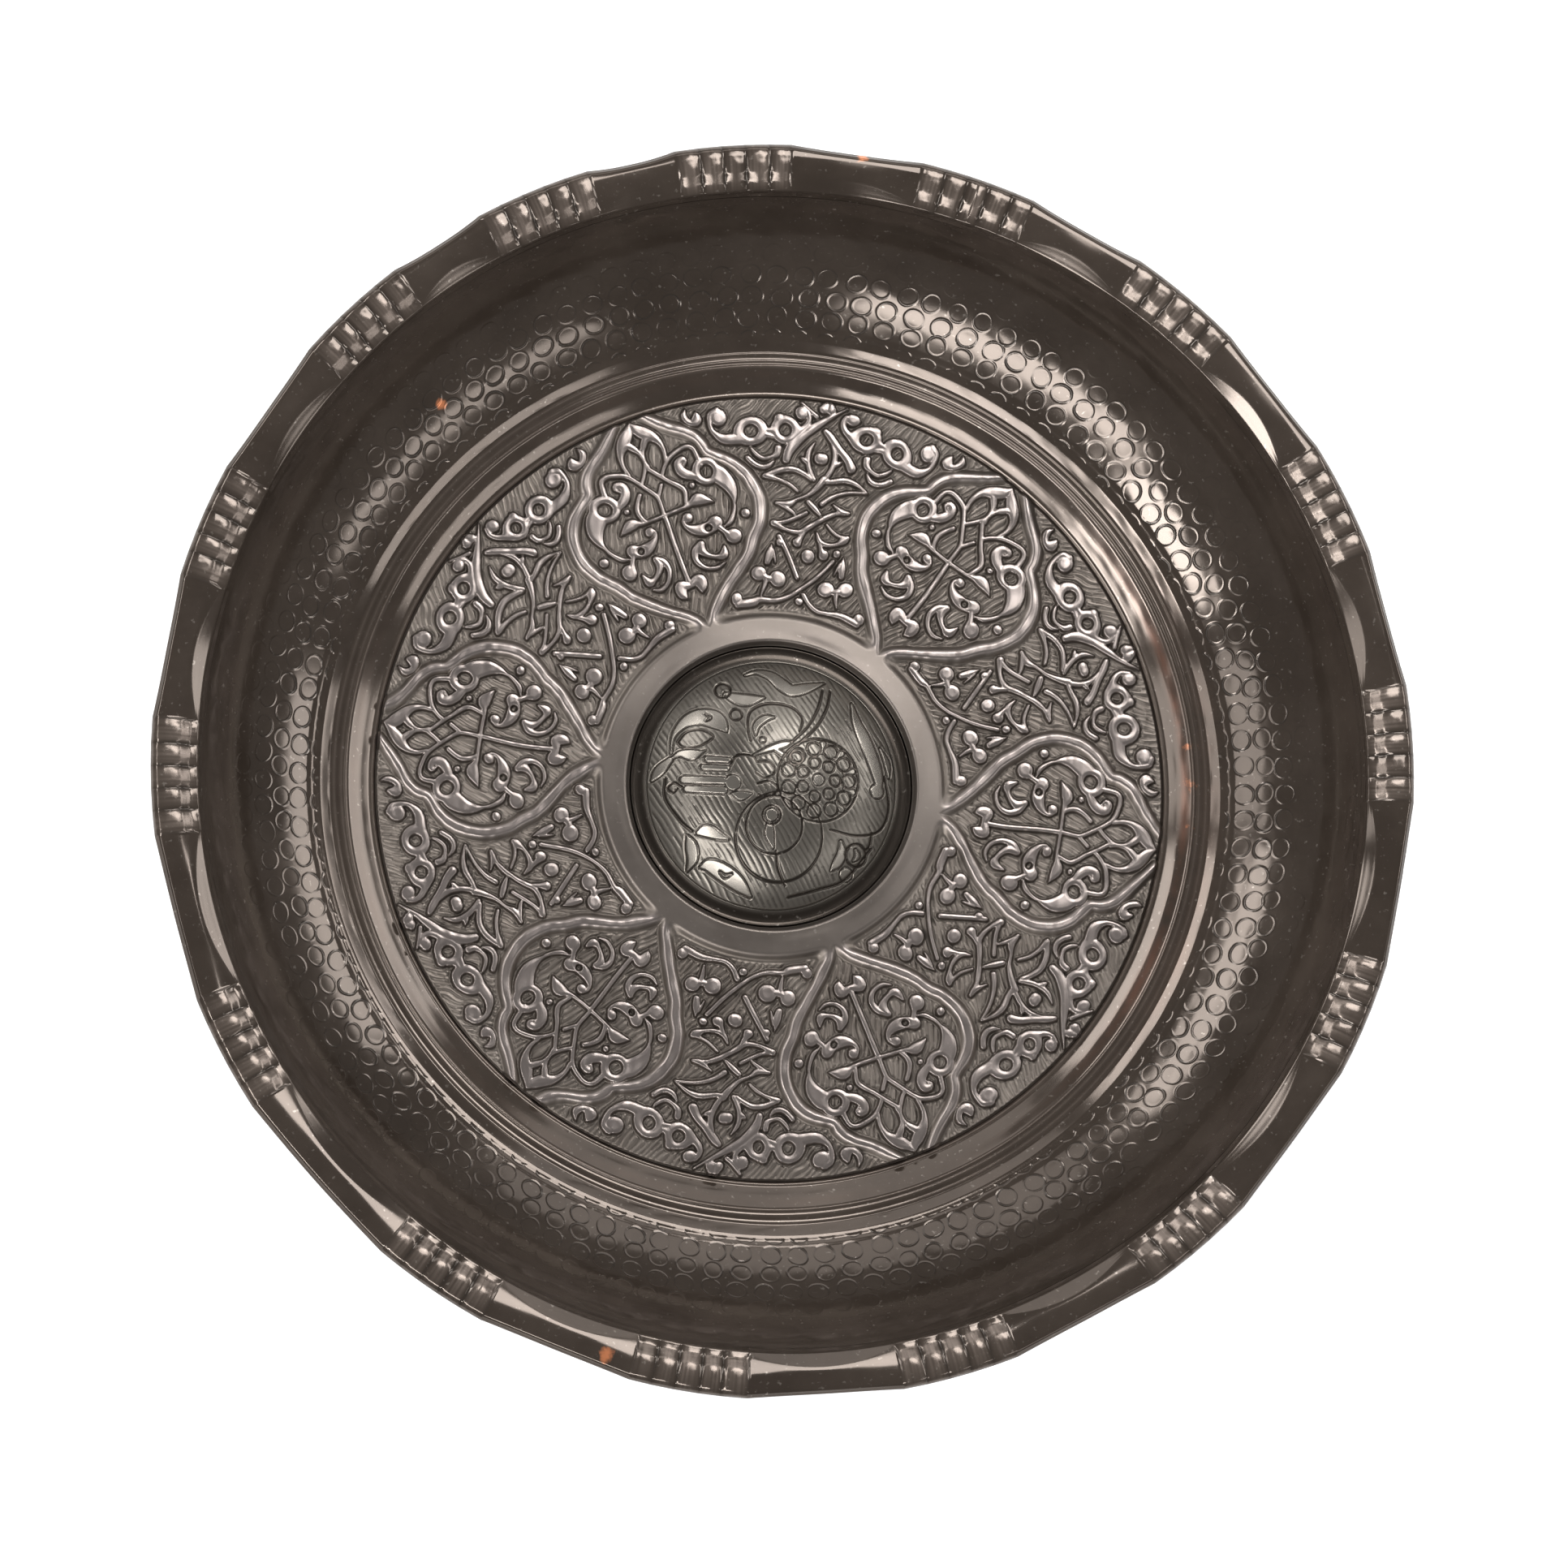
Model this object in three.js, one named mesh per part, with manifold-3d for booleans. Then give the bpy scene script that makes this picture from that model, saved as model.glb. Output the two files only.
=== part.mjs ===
// A round dished tray of dark sheet copper, in millimetres, +Z up.
// The origin is the centre of the flat base, on the surface that the tray stands on.
import * as THREE from "three";
import { mergeVertices } from "three/addons/utils/BufferGeometryUtils.js";
import Module from "manifold-3d";

// Driving dimensions
const SHEET = 1.0; // thickness of the dish's floor
const RIM_SHEET = 0.8; // the sheet is thinner where it is rolled over the wire
const CLEARANCE = 0.3; // gap kept between pieces that touch
const FLOOR_RADIUS = 95.6; // flat floor, inside the stepped moulding
const WALL = [ // Bezier points (r, z) of the wall, from the moulding up to the rim's lip
  [108, 5.2],
  [124.1, 13.2],
  [133.2, 21.5],
  [138.9, 34.3],
];
const WALL_SHEET = 0.9; // the sheet's thickness in the wall
const BEAD = { r: 148.2, z: 35.4, wire: 0.9 }; // rolled edge, and the radius of its wire

// Flutes: short radial pleats pressed into the rim in groups
const FLUTE_GROUPS_DEG = [3, 26.5, 50, 72, 95, 114, 134, 158, 182, 208, 236, 261, 286, 311, 337];
const FLUTES_PER_GROUP = 5;
const FLUTE_PITCH_DEG = 2.15;
const FLUTE_RISE = 0.35;
const CREASE_DROP = 0.45;
const SPAN_INSET = 1.2; // how far the edge draws in between the groups
const SPAN_LIP_SHIFT = 1.6; // how far the inner lip moves out between the groups

// Embossed plate, which lies on the dish's floor
const PLATE = { inner: 34.3, outer: 95.2, ground: 2.1, field: 0.7 };
const RING = { inner: 35.2, outer: 42.4, top: 3.4 };
const LEAVES = 6;
const FIRST_LEAF_DEG = 51.5;
const LEAF = { root: 41.5, tip: 94.3, belly: 66, halfWidth: 22.4, band: 2.8, top: 3.2 };

// Domed boss in the middle
const BOSS = { foot: 33.8, radius: 29.6, sphere: 47, footTop: 2.1, sheet: 0.9 };

const ROUND_STATIONS = 60;
const BOSS_STATIONS = 40;
const MATERIALS = {
  dish: new THREE.MeshStandardMaterial({ color: 0x3a322c, roughness: 0.34, metalness: 1 }),
  wire: new THREE.MeshStandardMaterial({ color: 0x8a5a3c, roughness: 0.45, metalness: 1 }),
  plate: new THREE.MeshStandardMaterial({ color: 0x5f554f, roughness: 0.42, metalness: 1 }),
  boss: new THREE.MeshStandardMaterial({ color: 0x5b5a50, roughness: 0.4, metalness: 1 }),
};

const rad = THREE.MathUtils.degToRad;

// Points of an arc in the r-z plane, from one angle to another in degrees.
function arc(centre, radiusR, radiusZ, fromDeg, toDeg, steps) {
  return Array.from({ length: steps + 1 }, (_, i) => {
    const a = rad(fromDeg + ((toDeg - fromDeg) * i) / steps);
    return { r: centre.r + radiusR * Math.cos(a), z: centre.z + radiusZ * Math.sin(a) };
  });
}

// Points of the wall's profile, upwards, pushed out from its inner face by a distance.
function wallPoints(steps, outward = 0) {
  const curve = new THREE.CubicBezierCurve(...WALL.map(([r, z]) => new THREE.Vector2(r, z)));
  return Array.from({ length: steps + 1 }, (_, i) => {
    const at = curve.getPoint(i / steps);
    const along = curve.getTangent(i / steps);
    return { r: at.x + outward * along.y, z: at.y - outward * along.x };
  });
}

// The directions in which a ring of the rim has its vertices. flute is 1 on a pleat's crown and
// -1 in a crease; span is 0 in a group of flutes and 1 halfway to the next group. Rings without
// pleats need only every fifth direction of a group.
function rimStations(step = 1) {
  const stations = [];
  FLUTE_GROUPS_DEG.forEach((centre, g) => {
    const halves = 2 * FLUTES_PER_GROUP;
    for (let k = 0; k <= halves; k += step) {
      const angle = centre + ((k - halves / 2) * FLUTE_PITCH_DEG) / 2;
      stations.push({ angle, flute: k % 2 ? 1 : -1, span: 0 });
    }
    const last = g === FLUTE_GROUPS_DEG.length - 1;
    const next = last ? FLUTE_GROUPS_DEG[0] + 360 : FLUTE_GROUPS_DEG[g + 1];
    stations.push({ angle: (centre + next) / 2, flute: 0, span: 1 });
  });
  return stations;
}

function plainStations(count) {
  return Array.from({ length: count }, (_, i) => ({ angle: (360 * i) / count, flute: 0, span: 0 }));
}

// A ring of vertices: a profile point carried round the axis. pleat, lip and edge say how much
// of the flutes, of the lip's shift and of the edge's inset the point takes.
function ring(point, stations) {
  return stations.map(({ angle, flute, span }) => {
    const pleat = (point.pleat ?? 0) * (flute > 0 ? FLUTE_RISE : CREASE_DROP) * flute;
    const r = point.r + span * ((point.lip ?? 0) * SPAN_LIP_SHIFT - (point.edge ?? 0) * SPAN_INSET);
    const swell = (point.swell ?? 0) * pleat;
    return {
      angle,
      at: [(r + swell) * Math.cos(rad(angle)), (r + swell) * Math.sin(rad(angle)), point.z + pleat],
    };
  });
}

// Triangles between two rings whose vertices need not be at the same angles.
function zip(a, b, triangles) {
  const angleOf = (loop, i) => loop[i % loop.length].angle + 360 * Math.floor(i / loop.length);
  const start = b.reduce((best, v, i) => {
    const gap = Math.abs(v.angle - a[0].angle);
    return gap < best.gap ? { gap, i } : best;
  }, { gap: Infinity, i: 0 }).i;
  let i = 0;
  let j = 0;
  while (i < a.length || j < b.length) {
    const nextA = (angleOf(a, i) + angleOf(a, i + 1)) / 2;
    const nextB = (angleOf(b, start + j) + angleOf(b, start + j + 1)) / 2;
    const here = a[i % a.length].at;
    const there = b[(start + j) % b.length].at;
    if (j >= b.length || (i < a.length && nextA <= nextB)) {
      triangles.push(here, there, a[(i + 1) % a.length].at);
      i++;
    } else {
      triangles.push(here, there, b[(start + j + 1) % b.length].at);
      j++;
    }
  }
}

// A closed surface through rings, capped on the axis where the first and last profile points are.
function surface(rings, caps) {
  const triangles = [];
  if (caps) {
    rings[0].forEach((v, i) => {
      triangles.push([0, 0, caps.first], v.at, rings[0][(i + 1) % rings[0].length].at);
    });
  }
  for (let i = 0; i + 1 < rings.length; i++) zip(rings[i], rings[i + 1], triangles);
  const last = rings[rings.length - 1];
  if (caps) {
    last.forEach((v, i) => {
      triangles.push(v.at, [0, 0, caps.last], last[(i + 1) % last.length].at);
    });
  } else {
    zip(last, rings[0], triangles);
  }
  const geometry = new THREE.BufferGeometry();
  geometry.setAttribute("position", new THREE.Float32BufferAttribute(triangles.flat(), 3));
  return mergeVertices(geometry, 1e-4);
}

// The dish: floor, stepped moulding, concave wall, fluted rim, and an edge rolled over a wire.
function dishGeometry() {
  const curlOuter = BEAD.wire + CLEARANCE + RIM_SHEET;
  const curlInner = BEAD.wire + CLEARANCE;
  const floorAndWall = [
    { r: FLOOR_RADIUS, z: SHEET },
    { r: 98.2, z: 1.5 },
    { r: 100.6, z: 2.6 },
    { r: 102.6, z: 4.3 },
    { r: 103.3, z: 4.6 },
    { r: 104.3, z: 4.2 },
    { r: 105.6, z: 4.7 },
    { r: 106.6, z: 4.6 },
    ...wallPoints(8),
  ];
  const pleated = [
    { r: 139.9, z: 35.2, lip: 1, pleat: 0.3 },
    { r: 141.4, z: 35.9, lip: 0.8, pleat: 0.5 },
    { r: 142.9, z: 36.7, lip: 0.4, edge: 0.4, pleat: 1 },
    { r: 145.0, z: 37.3, edge: 0.9, pleat: 1 },
    ...arc(BEAD, curlOuter, curlOuter, 145, 50, 2).map((p) => ({ ...p, edge: 1, pleat: 0.8, swell: 0.6 })),
  ];
  const rolled = [
    ...arc(BEAD, curlOuter, curlOuter, 5, -125, 3),
    ...arc(BEAD, curlInner, curlInner, -125, 150, 5),
  ].map((p) => ({ ...p, edge: 1 }));
  const flangeUnder = [
    { r: 144.9, z: 36.1, edge: 0.9 },
    { r: 142.6, z: 35.2, lip: 0.4, edge: 0.4 },
    { r: 140.9, z: 34.6, lip: 0.8 },
  ];
  const underside = [
    ...wallPoints(6, WALL_SHEET).reverse(),
    { r: 105.5, z: 3.7 },
    { r: 101.6, z: 2.0 },
    { r: 98.6, z: 0.4 },
    { r: 96.2, z: 0 },
  ];
  const round = plainStations(ROUND_STATIONS);
  const fine = rimStations();
  const coarse = rimStations(FLUTES_PER_GROUP);
  const rings = [
    ...floorAndWall.map((p) => ring(p, round)),
    ...pleated.map((p) => ring(p, fine)),
    ...[...rolled, ...flangeUnder].map((p) => ring(p, coarse)),
    ...underside.map((p) => ring(p, round)),
  ];
  return surface(rings, { first: SHEET, last: 0 });
}

// The wire inside the rolled edge follows the edge's inset between the groups of flutes.
function wireGeometry() {
  const stations = rimStations(FLUTES_PER_GROUP);
  const section = arc(BEAD, BEAD.wire, BEAD.wire, 0, -300, 5);
  return surface(section.map((p) => ring({ ...p, edge: 1 }, stations)));
}

function lathe(profile, segments) {
  const points = profile.map(([r, z]) => new THREE.Vector2(r, z));
  const geometry = new THREE.LatheGeometry(points, segments);
  geometry.rotateX(Math.PI / 2);
  geometry.deleteAttribute("normal");
  geometry.deleteAttribute("uv");
  return mergeVertices(geometry, 1e-4);
}

// The outline of a pointed leaf along +X, drawn inset by a distance.
function leafPath(path, inset) {
  const { root, tip, belly, halfWidth } = LEAF;
  const start = root + 2.2 * inset;
  const end = tip - 3.2 * inset;
  const half = halfWidth - inset;
  path.moveTo(start, 0);
  path.bezierCurveTo(start + 3, -half * 0.45, belly - 16, -half, belly, -half);
  path.bezierCurveTo(belly + 9, -half, belly + 15, -half * 0.42, end, 0);
  path.bezierCurveTo(belly + 15, half * 0.42, belly + 9, half, belly, half);
  path.bezierCurveTo(belly - 16, half, start + 3, half * 0.45, start, 0);
  return path;
}

const wasm = await Module();
wasm.setup();

function toSolid(geometry) {
  const clean = geometry.clone();
  clean.deleteAttribute("normal");
  clean.deleteAttribute("uv");
  const merged = mergeVertices(clean, 1e-4);
  return new wasm.Manifold(
    new wasm.Mesh({
      numProp: 3,
      vertProperties: new Float32Array(merged.attributes.position.array),
      triVerts: new Uint32Array(merged.index.array),
    }),
  );
}

function fromSolid(solid) {
  const mesh = solid.getMesh();
  const geometry = new THREE.BufferGeometry();
  geometry.setAttribute("position", new THREE.BufferAttribute(mesh.vertProperties, 3));
  geometry.setIndex(new THREE.BufferAttribute(mesh.triVerts, 1));
  return geometry;
}

// The embossed plate: a flat annulus with a raised ring round its hole and six raised leaf outlines.
function plateGeometry() {
  const bottom = SHEET + CLEARANCE;
  let solid = toSolid(
    lathe(
      [
        [PLATE.inner, bottom],
        [PLATE.outer, bottom],
        [PLATE.outer, PLATE.ground],
        [RING.outer + 0.5, PLATE.ground],
        [RING.outer, RING.top],
        [RING.inner, RING.top],
        [PLATE.inner, PLATE.ground],
        [PLATE.inner, bottom],
      ],
      ROUND_STATIONS,
    ),
  );
  for (let i = 0; i < LEAVES; i++) {
    const outline = leafPath(new THREE.Shape(), 0);
    outline.holes.push(leafPath(new THREE.Path(), LEAF.band));
    const foot = PLATE.ground - PLATE.field;
    const leaf = new THREE.ExtrudeGeometry(outline, {
      depth: LEAF.top - foot,
      bevelEnabled: false,
      curveSegments: 7,
    });
    leaf.translate(0, 0, foot);
    leaf.rotateZ(rad(FIRST_LEAF_DEG + (360 / LEAVES) * i));
    solid = solid.add(toSolid(leaf));
  }
  return fromSolid(solid);
}

// The boss: a thin pressed dome, open underneath, with a flat foot.
function bossGeometry() {
  const bottom = SHEET + CLEARANCE;
  const angle = THREE.MathUtils.radToDeg(Math.acos(BOSS.radius / BOSS.sphere));
  const centre = { r: 0, z: BOSS.footTop - BOSS.sphere * Math.sin(rad(angle)) };
  const outer = arc(centre, BOSS.sphere, BOSS.sphere, angle, 90, 6);
  const inner = arc(centre, BOSS.sphere - BOSS.sheet, BOSS.sphere - BOSS.sheet, 90, angle + 1.2, 4);
  const pairs = [...outer, ...inner].map(({ r, z }) => [Math.abs(r) < 1e-6 ? 0 : r, z]);
  const profile = [
    ...pairs,
    [BOSS.radius - 1.4, bottom],
    [BOSS.foot, bottom],
    [BOSS.foot, BOSS.footTop],
    pairs[0],
  ];
  return lathe(profile, BOSS_STATIONS);
}

const tray = new THREE.Group();

function addPiece(name, geometry, material) {
  const mesh = new THREE.Mesh(geometry, material);
  mesh.name = name;
  tray.add(mesh);
}

addPiece("dish_shell", dishGeometry(), MATERIALS.dish);
addPiece("rim_wire", wireGeometry(), MATERIALS.wire);
addPiece("embossed_plate", plateGeometry(), MATERIALS.plate);
addPiece("centre_boss", bossGeometry(), MATERIALS.boss);

export default tray;
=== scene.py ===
"""A round dished tray of dark, antiqued copper: stepped moulding, ring-punched wall, fluted rim,
a floor of raised scrollwork in six pointed leaves, and a domed boss with an engraved flower pattern.

Lengths in the design tables are millimetres in the tray's own frame. The frame's boxes give the
anchors: the tray's height, the plate's edge and underside, and the boss's foot."""

import math

import bpy
import numpy as np
from mathutils import Matrix, Quaternion, Vector


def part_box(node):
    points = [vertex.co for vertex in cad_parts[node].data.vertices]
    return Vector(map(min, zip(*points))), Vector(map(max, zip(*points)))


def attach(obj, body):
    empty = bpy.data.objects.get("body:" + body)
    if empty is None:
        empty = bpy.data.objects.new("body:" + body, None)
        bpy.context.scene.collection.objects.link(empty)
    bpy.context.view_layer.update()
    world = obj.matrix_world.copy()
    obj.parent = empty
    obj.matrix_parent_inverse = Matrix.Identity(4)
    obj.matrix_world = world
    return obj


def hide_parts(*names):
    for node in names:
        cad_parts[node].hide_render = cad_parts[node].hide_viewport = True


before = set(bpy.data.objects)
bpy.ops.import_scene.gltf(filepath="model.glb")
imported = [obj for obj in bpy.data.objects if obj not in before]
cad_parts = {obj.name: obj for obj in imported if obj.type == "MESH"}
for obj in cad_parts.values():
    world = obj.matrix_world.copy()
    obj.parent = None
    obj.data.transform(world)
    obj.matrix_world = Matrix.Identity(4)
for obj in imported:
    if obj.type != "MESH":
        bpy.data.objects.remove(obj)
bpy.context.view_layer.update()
scene = bpy.context.scene

MM = 0.001
PLATE_LOW, PLATE_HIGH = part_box("embossed_plate")
BOSS_LOW, BOSS_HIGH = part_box("centre_boss")
RIM_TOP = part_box("dish_shell")[1].z / MM
PLATE_RADIUS = (PLATE_HIGH.x - PLATE_LOW.x) / 2 / MM
PLATE_UNDER = PLATE_LOW.z / MM
BOSS_FOOT = (BOSS_HIGH.x - BOSS_LOW.x) / 2 / MM

# ---------------------------------------------------------------- camera

VIEW_DISTANCE = 2.12
VIEW_TILT = math.radians(10.8)  # away from looking straight down
VIEW_AZIMUTH = math.radians(232.5)
LENS = 206.2
AIM = Vector((-0.0010, -0.00475, RIM_TOP * MM))


def make_camera():
    data = bpy.data.cameras.new("camera")
    data.sensor_width = 36
    data.lens = LENS
    camera = bpy.data.objects.new("camera", data)
    scene.collection.objects.link(camera)
    level = math.sin(VIEW_TILT)
    back = Vector((level * math.cos(VIEW_AZIMUTH), level * math.sin(VIEW_AZIMUTH), math.cos(VIEW_TILT)))
    right = (-back).cross(Vector((0, 1, 0))).normalized()
    up = right.cross(-back)
    camera.rotation_mode = "QUATERNION"
    camera.rotation_quaternion = Matrix((right, up, back)).transposed().to_quaternion()
    camera.location = AIM + back * VIEW_DISTANCE
    scene.camera = camera


make_camera()

# ---------------------------------------------------------------- lights

WORLD_STRENGTH = 0.26


def soft_box(name, azimuth, elevation, distance, size, power, roll=0.0):
    """A rectangular light aimed at the tray. With a positive roll it rises towards larger azimuths."""
    data = bpy.data.lights.new(name, "AREA")
    data.shape = "RECTANGLE"
    data.size, data.size_y = size
    data.energy = power
    light = bpy.data.objects.new(name, data)
    a, e = math.radians(azimuth), math.radians(elevation)
    away = Vector((math.cos(a) * math.cos(e), math.sin(a) * math.cos(e), math.sin(e)))
    light.location = away * distance
    light.rotation_mode = "QUATERNION"
    light.rotation_quaternion = away.to_track_quat("Z", "Y") @ Quaternion((0, 0, 1), math.radians(roll))
    scene.collection.objects.link(light)


soft_box("upper_left_strip", 142, 32.4, 1.9, (1.06, 0.31), 10, roll=13)
soft_box("left_strip", 208, 46, 1.9, (0.53, 0.22), 9)
soft_box("near_strip", 243.5, 40, 1.9, (1.22, 0.31), 18)
soft_box("right_strip", 326, 33.5, 1.9, (1.26, 0.16), 3.9, roll=-12)
soft_box("right_box", 20, 29, 1.9, (1.21, 0.34), 9, roll=-10)
soft_box("far_fill", 85, 30, 1.9, (2.0, 0.6), 7)
soft_box("left_fill", 176, 42, 1.9, (0.62, 0.35), 3.2)
soft_box("far_box", 62, 58, 0.7, (0.34, 0.24), 2.95)


def make_world():
    world = bpy.data.worlds.new("studio")
    world.use_nodes = True
    background = world.node_tree.nodes["Background"]
    background.inputs["Color"].default_value = (1, 1, 1, 1)
    background.inputs["Strength"].default_value = WORLD_STRENGTH
    scene.world = world
    scene.view_settings.view_transform = "Standard"


make_world()

# ---------------------------------------------------------------- numeric helpers


def smooth(x):
    """0 below 0, 1 above 1, and a smooth step between."""
    x = np.clip(x, 0, 1)
    return x * x * (3 - 2 * x)


def waves(seed, count, low, high):
    """A smooth random function of x and y, about -1 to 1, with wavelengths from low to high."""
    rng = np.random.default_rng(seed)
    k = 2 * np.pi / np.exp(rng.uniform(np.log(low), np.log(high), count))
    heading = rng.uniform(0, 2 * np.pi, count)
    phase = rng.uniform(0, 2 * np.pi, count)

    def value(x, y):
        total = np.zeros(np.broadcast(x, y).shape)
        for i in range(count):
            total += np.sin(k[i] * (x * np.cos(heading[i]) + y * np.sin(heading[i])) + phase[i])
        return total / math.sqrt(count)

    return value


def hill(x, width):
    """1 at 0, falling away on both sides."""
    return np.exp(-((x / width) ** 2))


def full_circle(columns):
    """Evenly spaced angles in degrees, from 0."""
    return np.arange(columns) * 360 / columns


def path_length(points):
    """The distance along a polyline at each of its points."""
    return np.concatenate([[0], np.cumsum(np.hypot(*np.diff(points, axis=0).T))])


def along_path(at, length, points):
    """Points at given distances along a polyline."""
    return np.stack([np.interp(at, length, points[:, k]) for k in (0, 1)], -1)


def catmull_rom(a, b, c, d, t):
    """Points on the smooth curve from b to c, where a comes before them and d after."""
    return 0.5 * (2 * b + (c - a) * t + (2 * a - 5 * b + 4 * c - d) * t**2 + (3 * b - a - 3 * c + d) * t**3)


def with_ends(p):
    """A row of points with one more at each end, straight on."""
    return np.vstack([2 * p[0] - p[1], p, 2 * p[-1] - p[-2]])


THINNEST_STROKE = 0.25


def spline(points, step=0.5):
    """Points along a smooth curve through rows of (x, y, width)."""
    p = np.asarray(points, float)
    if len(p) < 3:
        n = max(2, int(np.hypot(*(p[1] - p[0])[:2]) / step) + 1)
        t = np.linspace(0, 1, n)[:, None]
        return p[0] * (1 - t) + p[1] * t
    p = with_ends(p)
    made = []
    for i in range(1, len(p) - 2):
        n = max(2, int(np.hypot(*(p[i + 1] - p[i])[:2]) / step) + 1)
        t = np.linspace(0, 1, n, endpoint=i == len(p) - 3)[:, None]
        made.append(catmull_rom(*p[i - 1 : i + 3], t))
    curve = np.vstack(made)
    curve[:, 2] = np.maximum(curve[:, 2], THINNEST_STROKE)
    return curve


def bilinear(field, i, j):
    """The field's value at fractional row and column places."""
    i = np.clip(i, 0, field.shape[0] - 1.001)
    j = np.clip(j, 0, field.shape[1] - 1.001)
    i0, j0 = i.astype(int), j.astype(int)
    fi, fj = i - i0, j - j0
    near = field[i0, j0] * (1 - fi) + field[i0 + 1, j0] * fi
    far = field[i0, j0 + 1] * (1 - fi) + field[i0 + 1, j0 + 1] * fi
    return near * (1 - fj) + far * fj


def capsule_distance(x, y, a, b):
    """Signed distance to a round-ended stroke from a to b, rows of (x, y, width)."""
    ex, ey = b[0] - a[0], b[1] - a[1]
    length = ex * ex + ey * ey + 1e-12
    t = np.clip(((x - a[0]) * ex + (y - a[1]) * ey) / length, 0, 1)
    return np.hypot(x - a[0] - t * ex, y - a[1] - t * ey) - (a[2] + t * (b[2] - a[2])) / 2


class Drawing:
    """Distances to drawn strokes on a regular grid of points. Subclasses give the window of grid
    points that a stroke can reach."""

    REACH = 2.4
    UNTOUCHED = 9.0

    def __init__(self, x, y):
        self.x, self.y = x, y
        self.stroke = np.full(x.shape, self.UNTOUCHED)
        self.cord = np.full(x.shape, self.UNTOUCHED)

    def add(self, points, layer="stroke", cut=False):
        field = getattr(self, layer)
        curve = spline(points) if len(points) > 1 else np.asarray([points[0], points[0]], float)
        for a, b in zip(curve[:-1], curve[1:]):
            for window in self.windows(a, b):
                d = capsule_distance(self.x[window], self.y[window], a, b)
                if cut:
                    field[window] = np.maximum(field[window], -d)
                else:
                    field[window] = np.minimum(field[window], d)


# ---------------------------------------------------------------- mesh helpers


def grid_normals(p, around):
    """Unit normals of a grid of points. around is True where the columns close on themselves."""
    if around:
        along = np.roll(p, -1, 1) - np.roll(p, 1, 1)
    else:
        along = np.gradient(p, axis=1)
    n = np.cross(np.gradient(p, axis=0), along)
    return n / np.maximum(np.linalg.norm(n, axis=2, keepdims=True), 1e-12)


def bake_layout(mesh, rows, cells):
    """A UV layer that lays the grid out as a unit square."""
    u = np.arange(cells + 1) / cells
    v = np.arange(rows) / (rows - 1)
    low_u, high_u = np.tile(u[:-1], rows - 1), np.tile(u[1:], rows - 1)
    low_v, high_v = np.repeat(v[:-1], cells), np.repeat(v[1:], cells)
    corners = np.stack([low_u, low_v, low_u, high_v, high_u, high_v, high_u, low_v], -1)
    layer = mesh.uv_layers.new(name="OFBake")
    layer.data.foreach_set("uv", corners.astype(np.float32).ravel())


def grid_piece(name, p, normals, finish, marks, closed=False):
    """A piece from a grid of points in millimetres, with smooth normals and a bake layout. Its
    finish is the material, the CAD node that it replaces and a slot name, which is not used."""
    material, node, slot = finish
    rows, columns = p.shape[:2]
    index = np.arange(rows * columns, dtype=np.int32).reshape(rows, columns)
    if closed:
        index = np.concatenate([index, index[:, :1]], 1)
    quads = np.stack([index[:-1, :-1], index[1:, :-1], index[1:, 1:], index[:-1, 1:]], -1)
    cells = quads.shape[1]
    quads = quads.reshape(-1, 4)
    mesh = bpy.data.meshes.new(name)
    mesh.vertices.add(rows * columns)
    mesh.vertices.foreach_set("co", (p * MM).astype(np.float32).ravel())
    mesh.loops.add(quads.size)
    mesh.loops.foreach_set("vertex_index", quads.ravel())
    mesh.polygons.add(len(quads))
    mesh.polygons.foreach_set("loop_start", np.arange(0, quads.size, 4, dtype=np.int32))
    mesh.polygons.foreach_set("use_smooth", np.ones(len(quads), bool))
    for key, values in marks.items():
        attribute = mesh.attributes.new(key, "FLOAT", "POINT")
        attribute.data.foreach_set("value", values.astype(np.float32).ravel())
    bake_layout(mesh, rows, cells)
    mesh.update(calc_edges=True)
    mesh.validate()
    mesh.normals_split_custom_set_from_vertices(normals.reshape(-1, 3))
    mesh.materials.append(material)
    piece = bpy.data.objects.new(name, mesh)
    scene.collection.objects.link(piece)
    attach(piece, "root")
    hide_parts(node)


def ring_piece(name, p, finish, marks):
    """One piece from a grid whose columns close on themselves."""
    grid_piece(name, p, grid_normals(p, around=True), finish, marks, closed=True)


def sector_pieces(name, p, finish, marks):
    """Splits a grid whose columns close on themselves into six pieces that share exact seams."""
    normals = grid_normals(p, around=True)
    columns = p.shape[1]
    share = columns // LEAVES
    for i in range(LEAVES):
        pick = np.arange(i * share, (i + 1) * share + 1) % columns
        part = {key: values[:, pick] for key, values in marks.items()}
        grid_piece(f"{name}_{i + 1}", p[:, pick], normals[:, pick], finish, part)


# ---------------------------------------------------------------- floor ornament

LEAVES = 6
WEDGE = 360 / LEAVES
FIRST_LEAF = 51.5
GROUND = 2.1
STROKE_RISE = 0.95
CORD_RISE = 1.0
TOP_RISE = 1.25  # counts as fully proud when the metal is rubbed
CORD_WIDEN = 1.72
STROKE_WIDEN = 1.62
RING = (34.6, 42.2)
RING_CROWN = 0.75  # how much higher the ring is at its inner edge
RING_BLEND = 2.6  # over which a leaf's outline flows into the ring
OUTLINE_SHOULDER = 1.6  # from an outline's edge to its full height
GROOVE_DEPTH = 0.18
HATCH_DEPTH = 0.45
PLATE_EDGE_DROP = 0.9
# Half the leaf's width, at distances from the tray's centre.
LEAF_HALF_WIDTH = ([41, 48, 55, 62, 69, 76, 82, 88, 95], [0, 7.5, 15.5, 21, 23, 21, 15, 11, 3])
# Heading in degrees and pitch of the engraved lines, in the leaves and in the panels.
LEAF_HATCH = (-22, 1.4)
PANEL_HATCH = (-34, 1.35)

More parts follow.
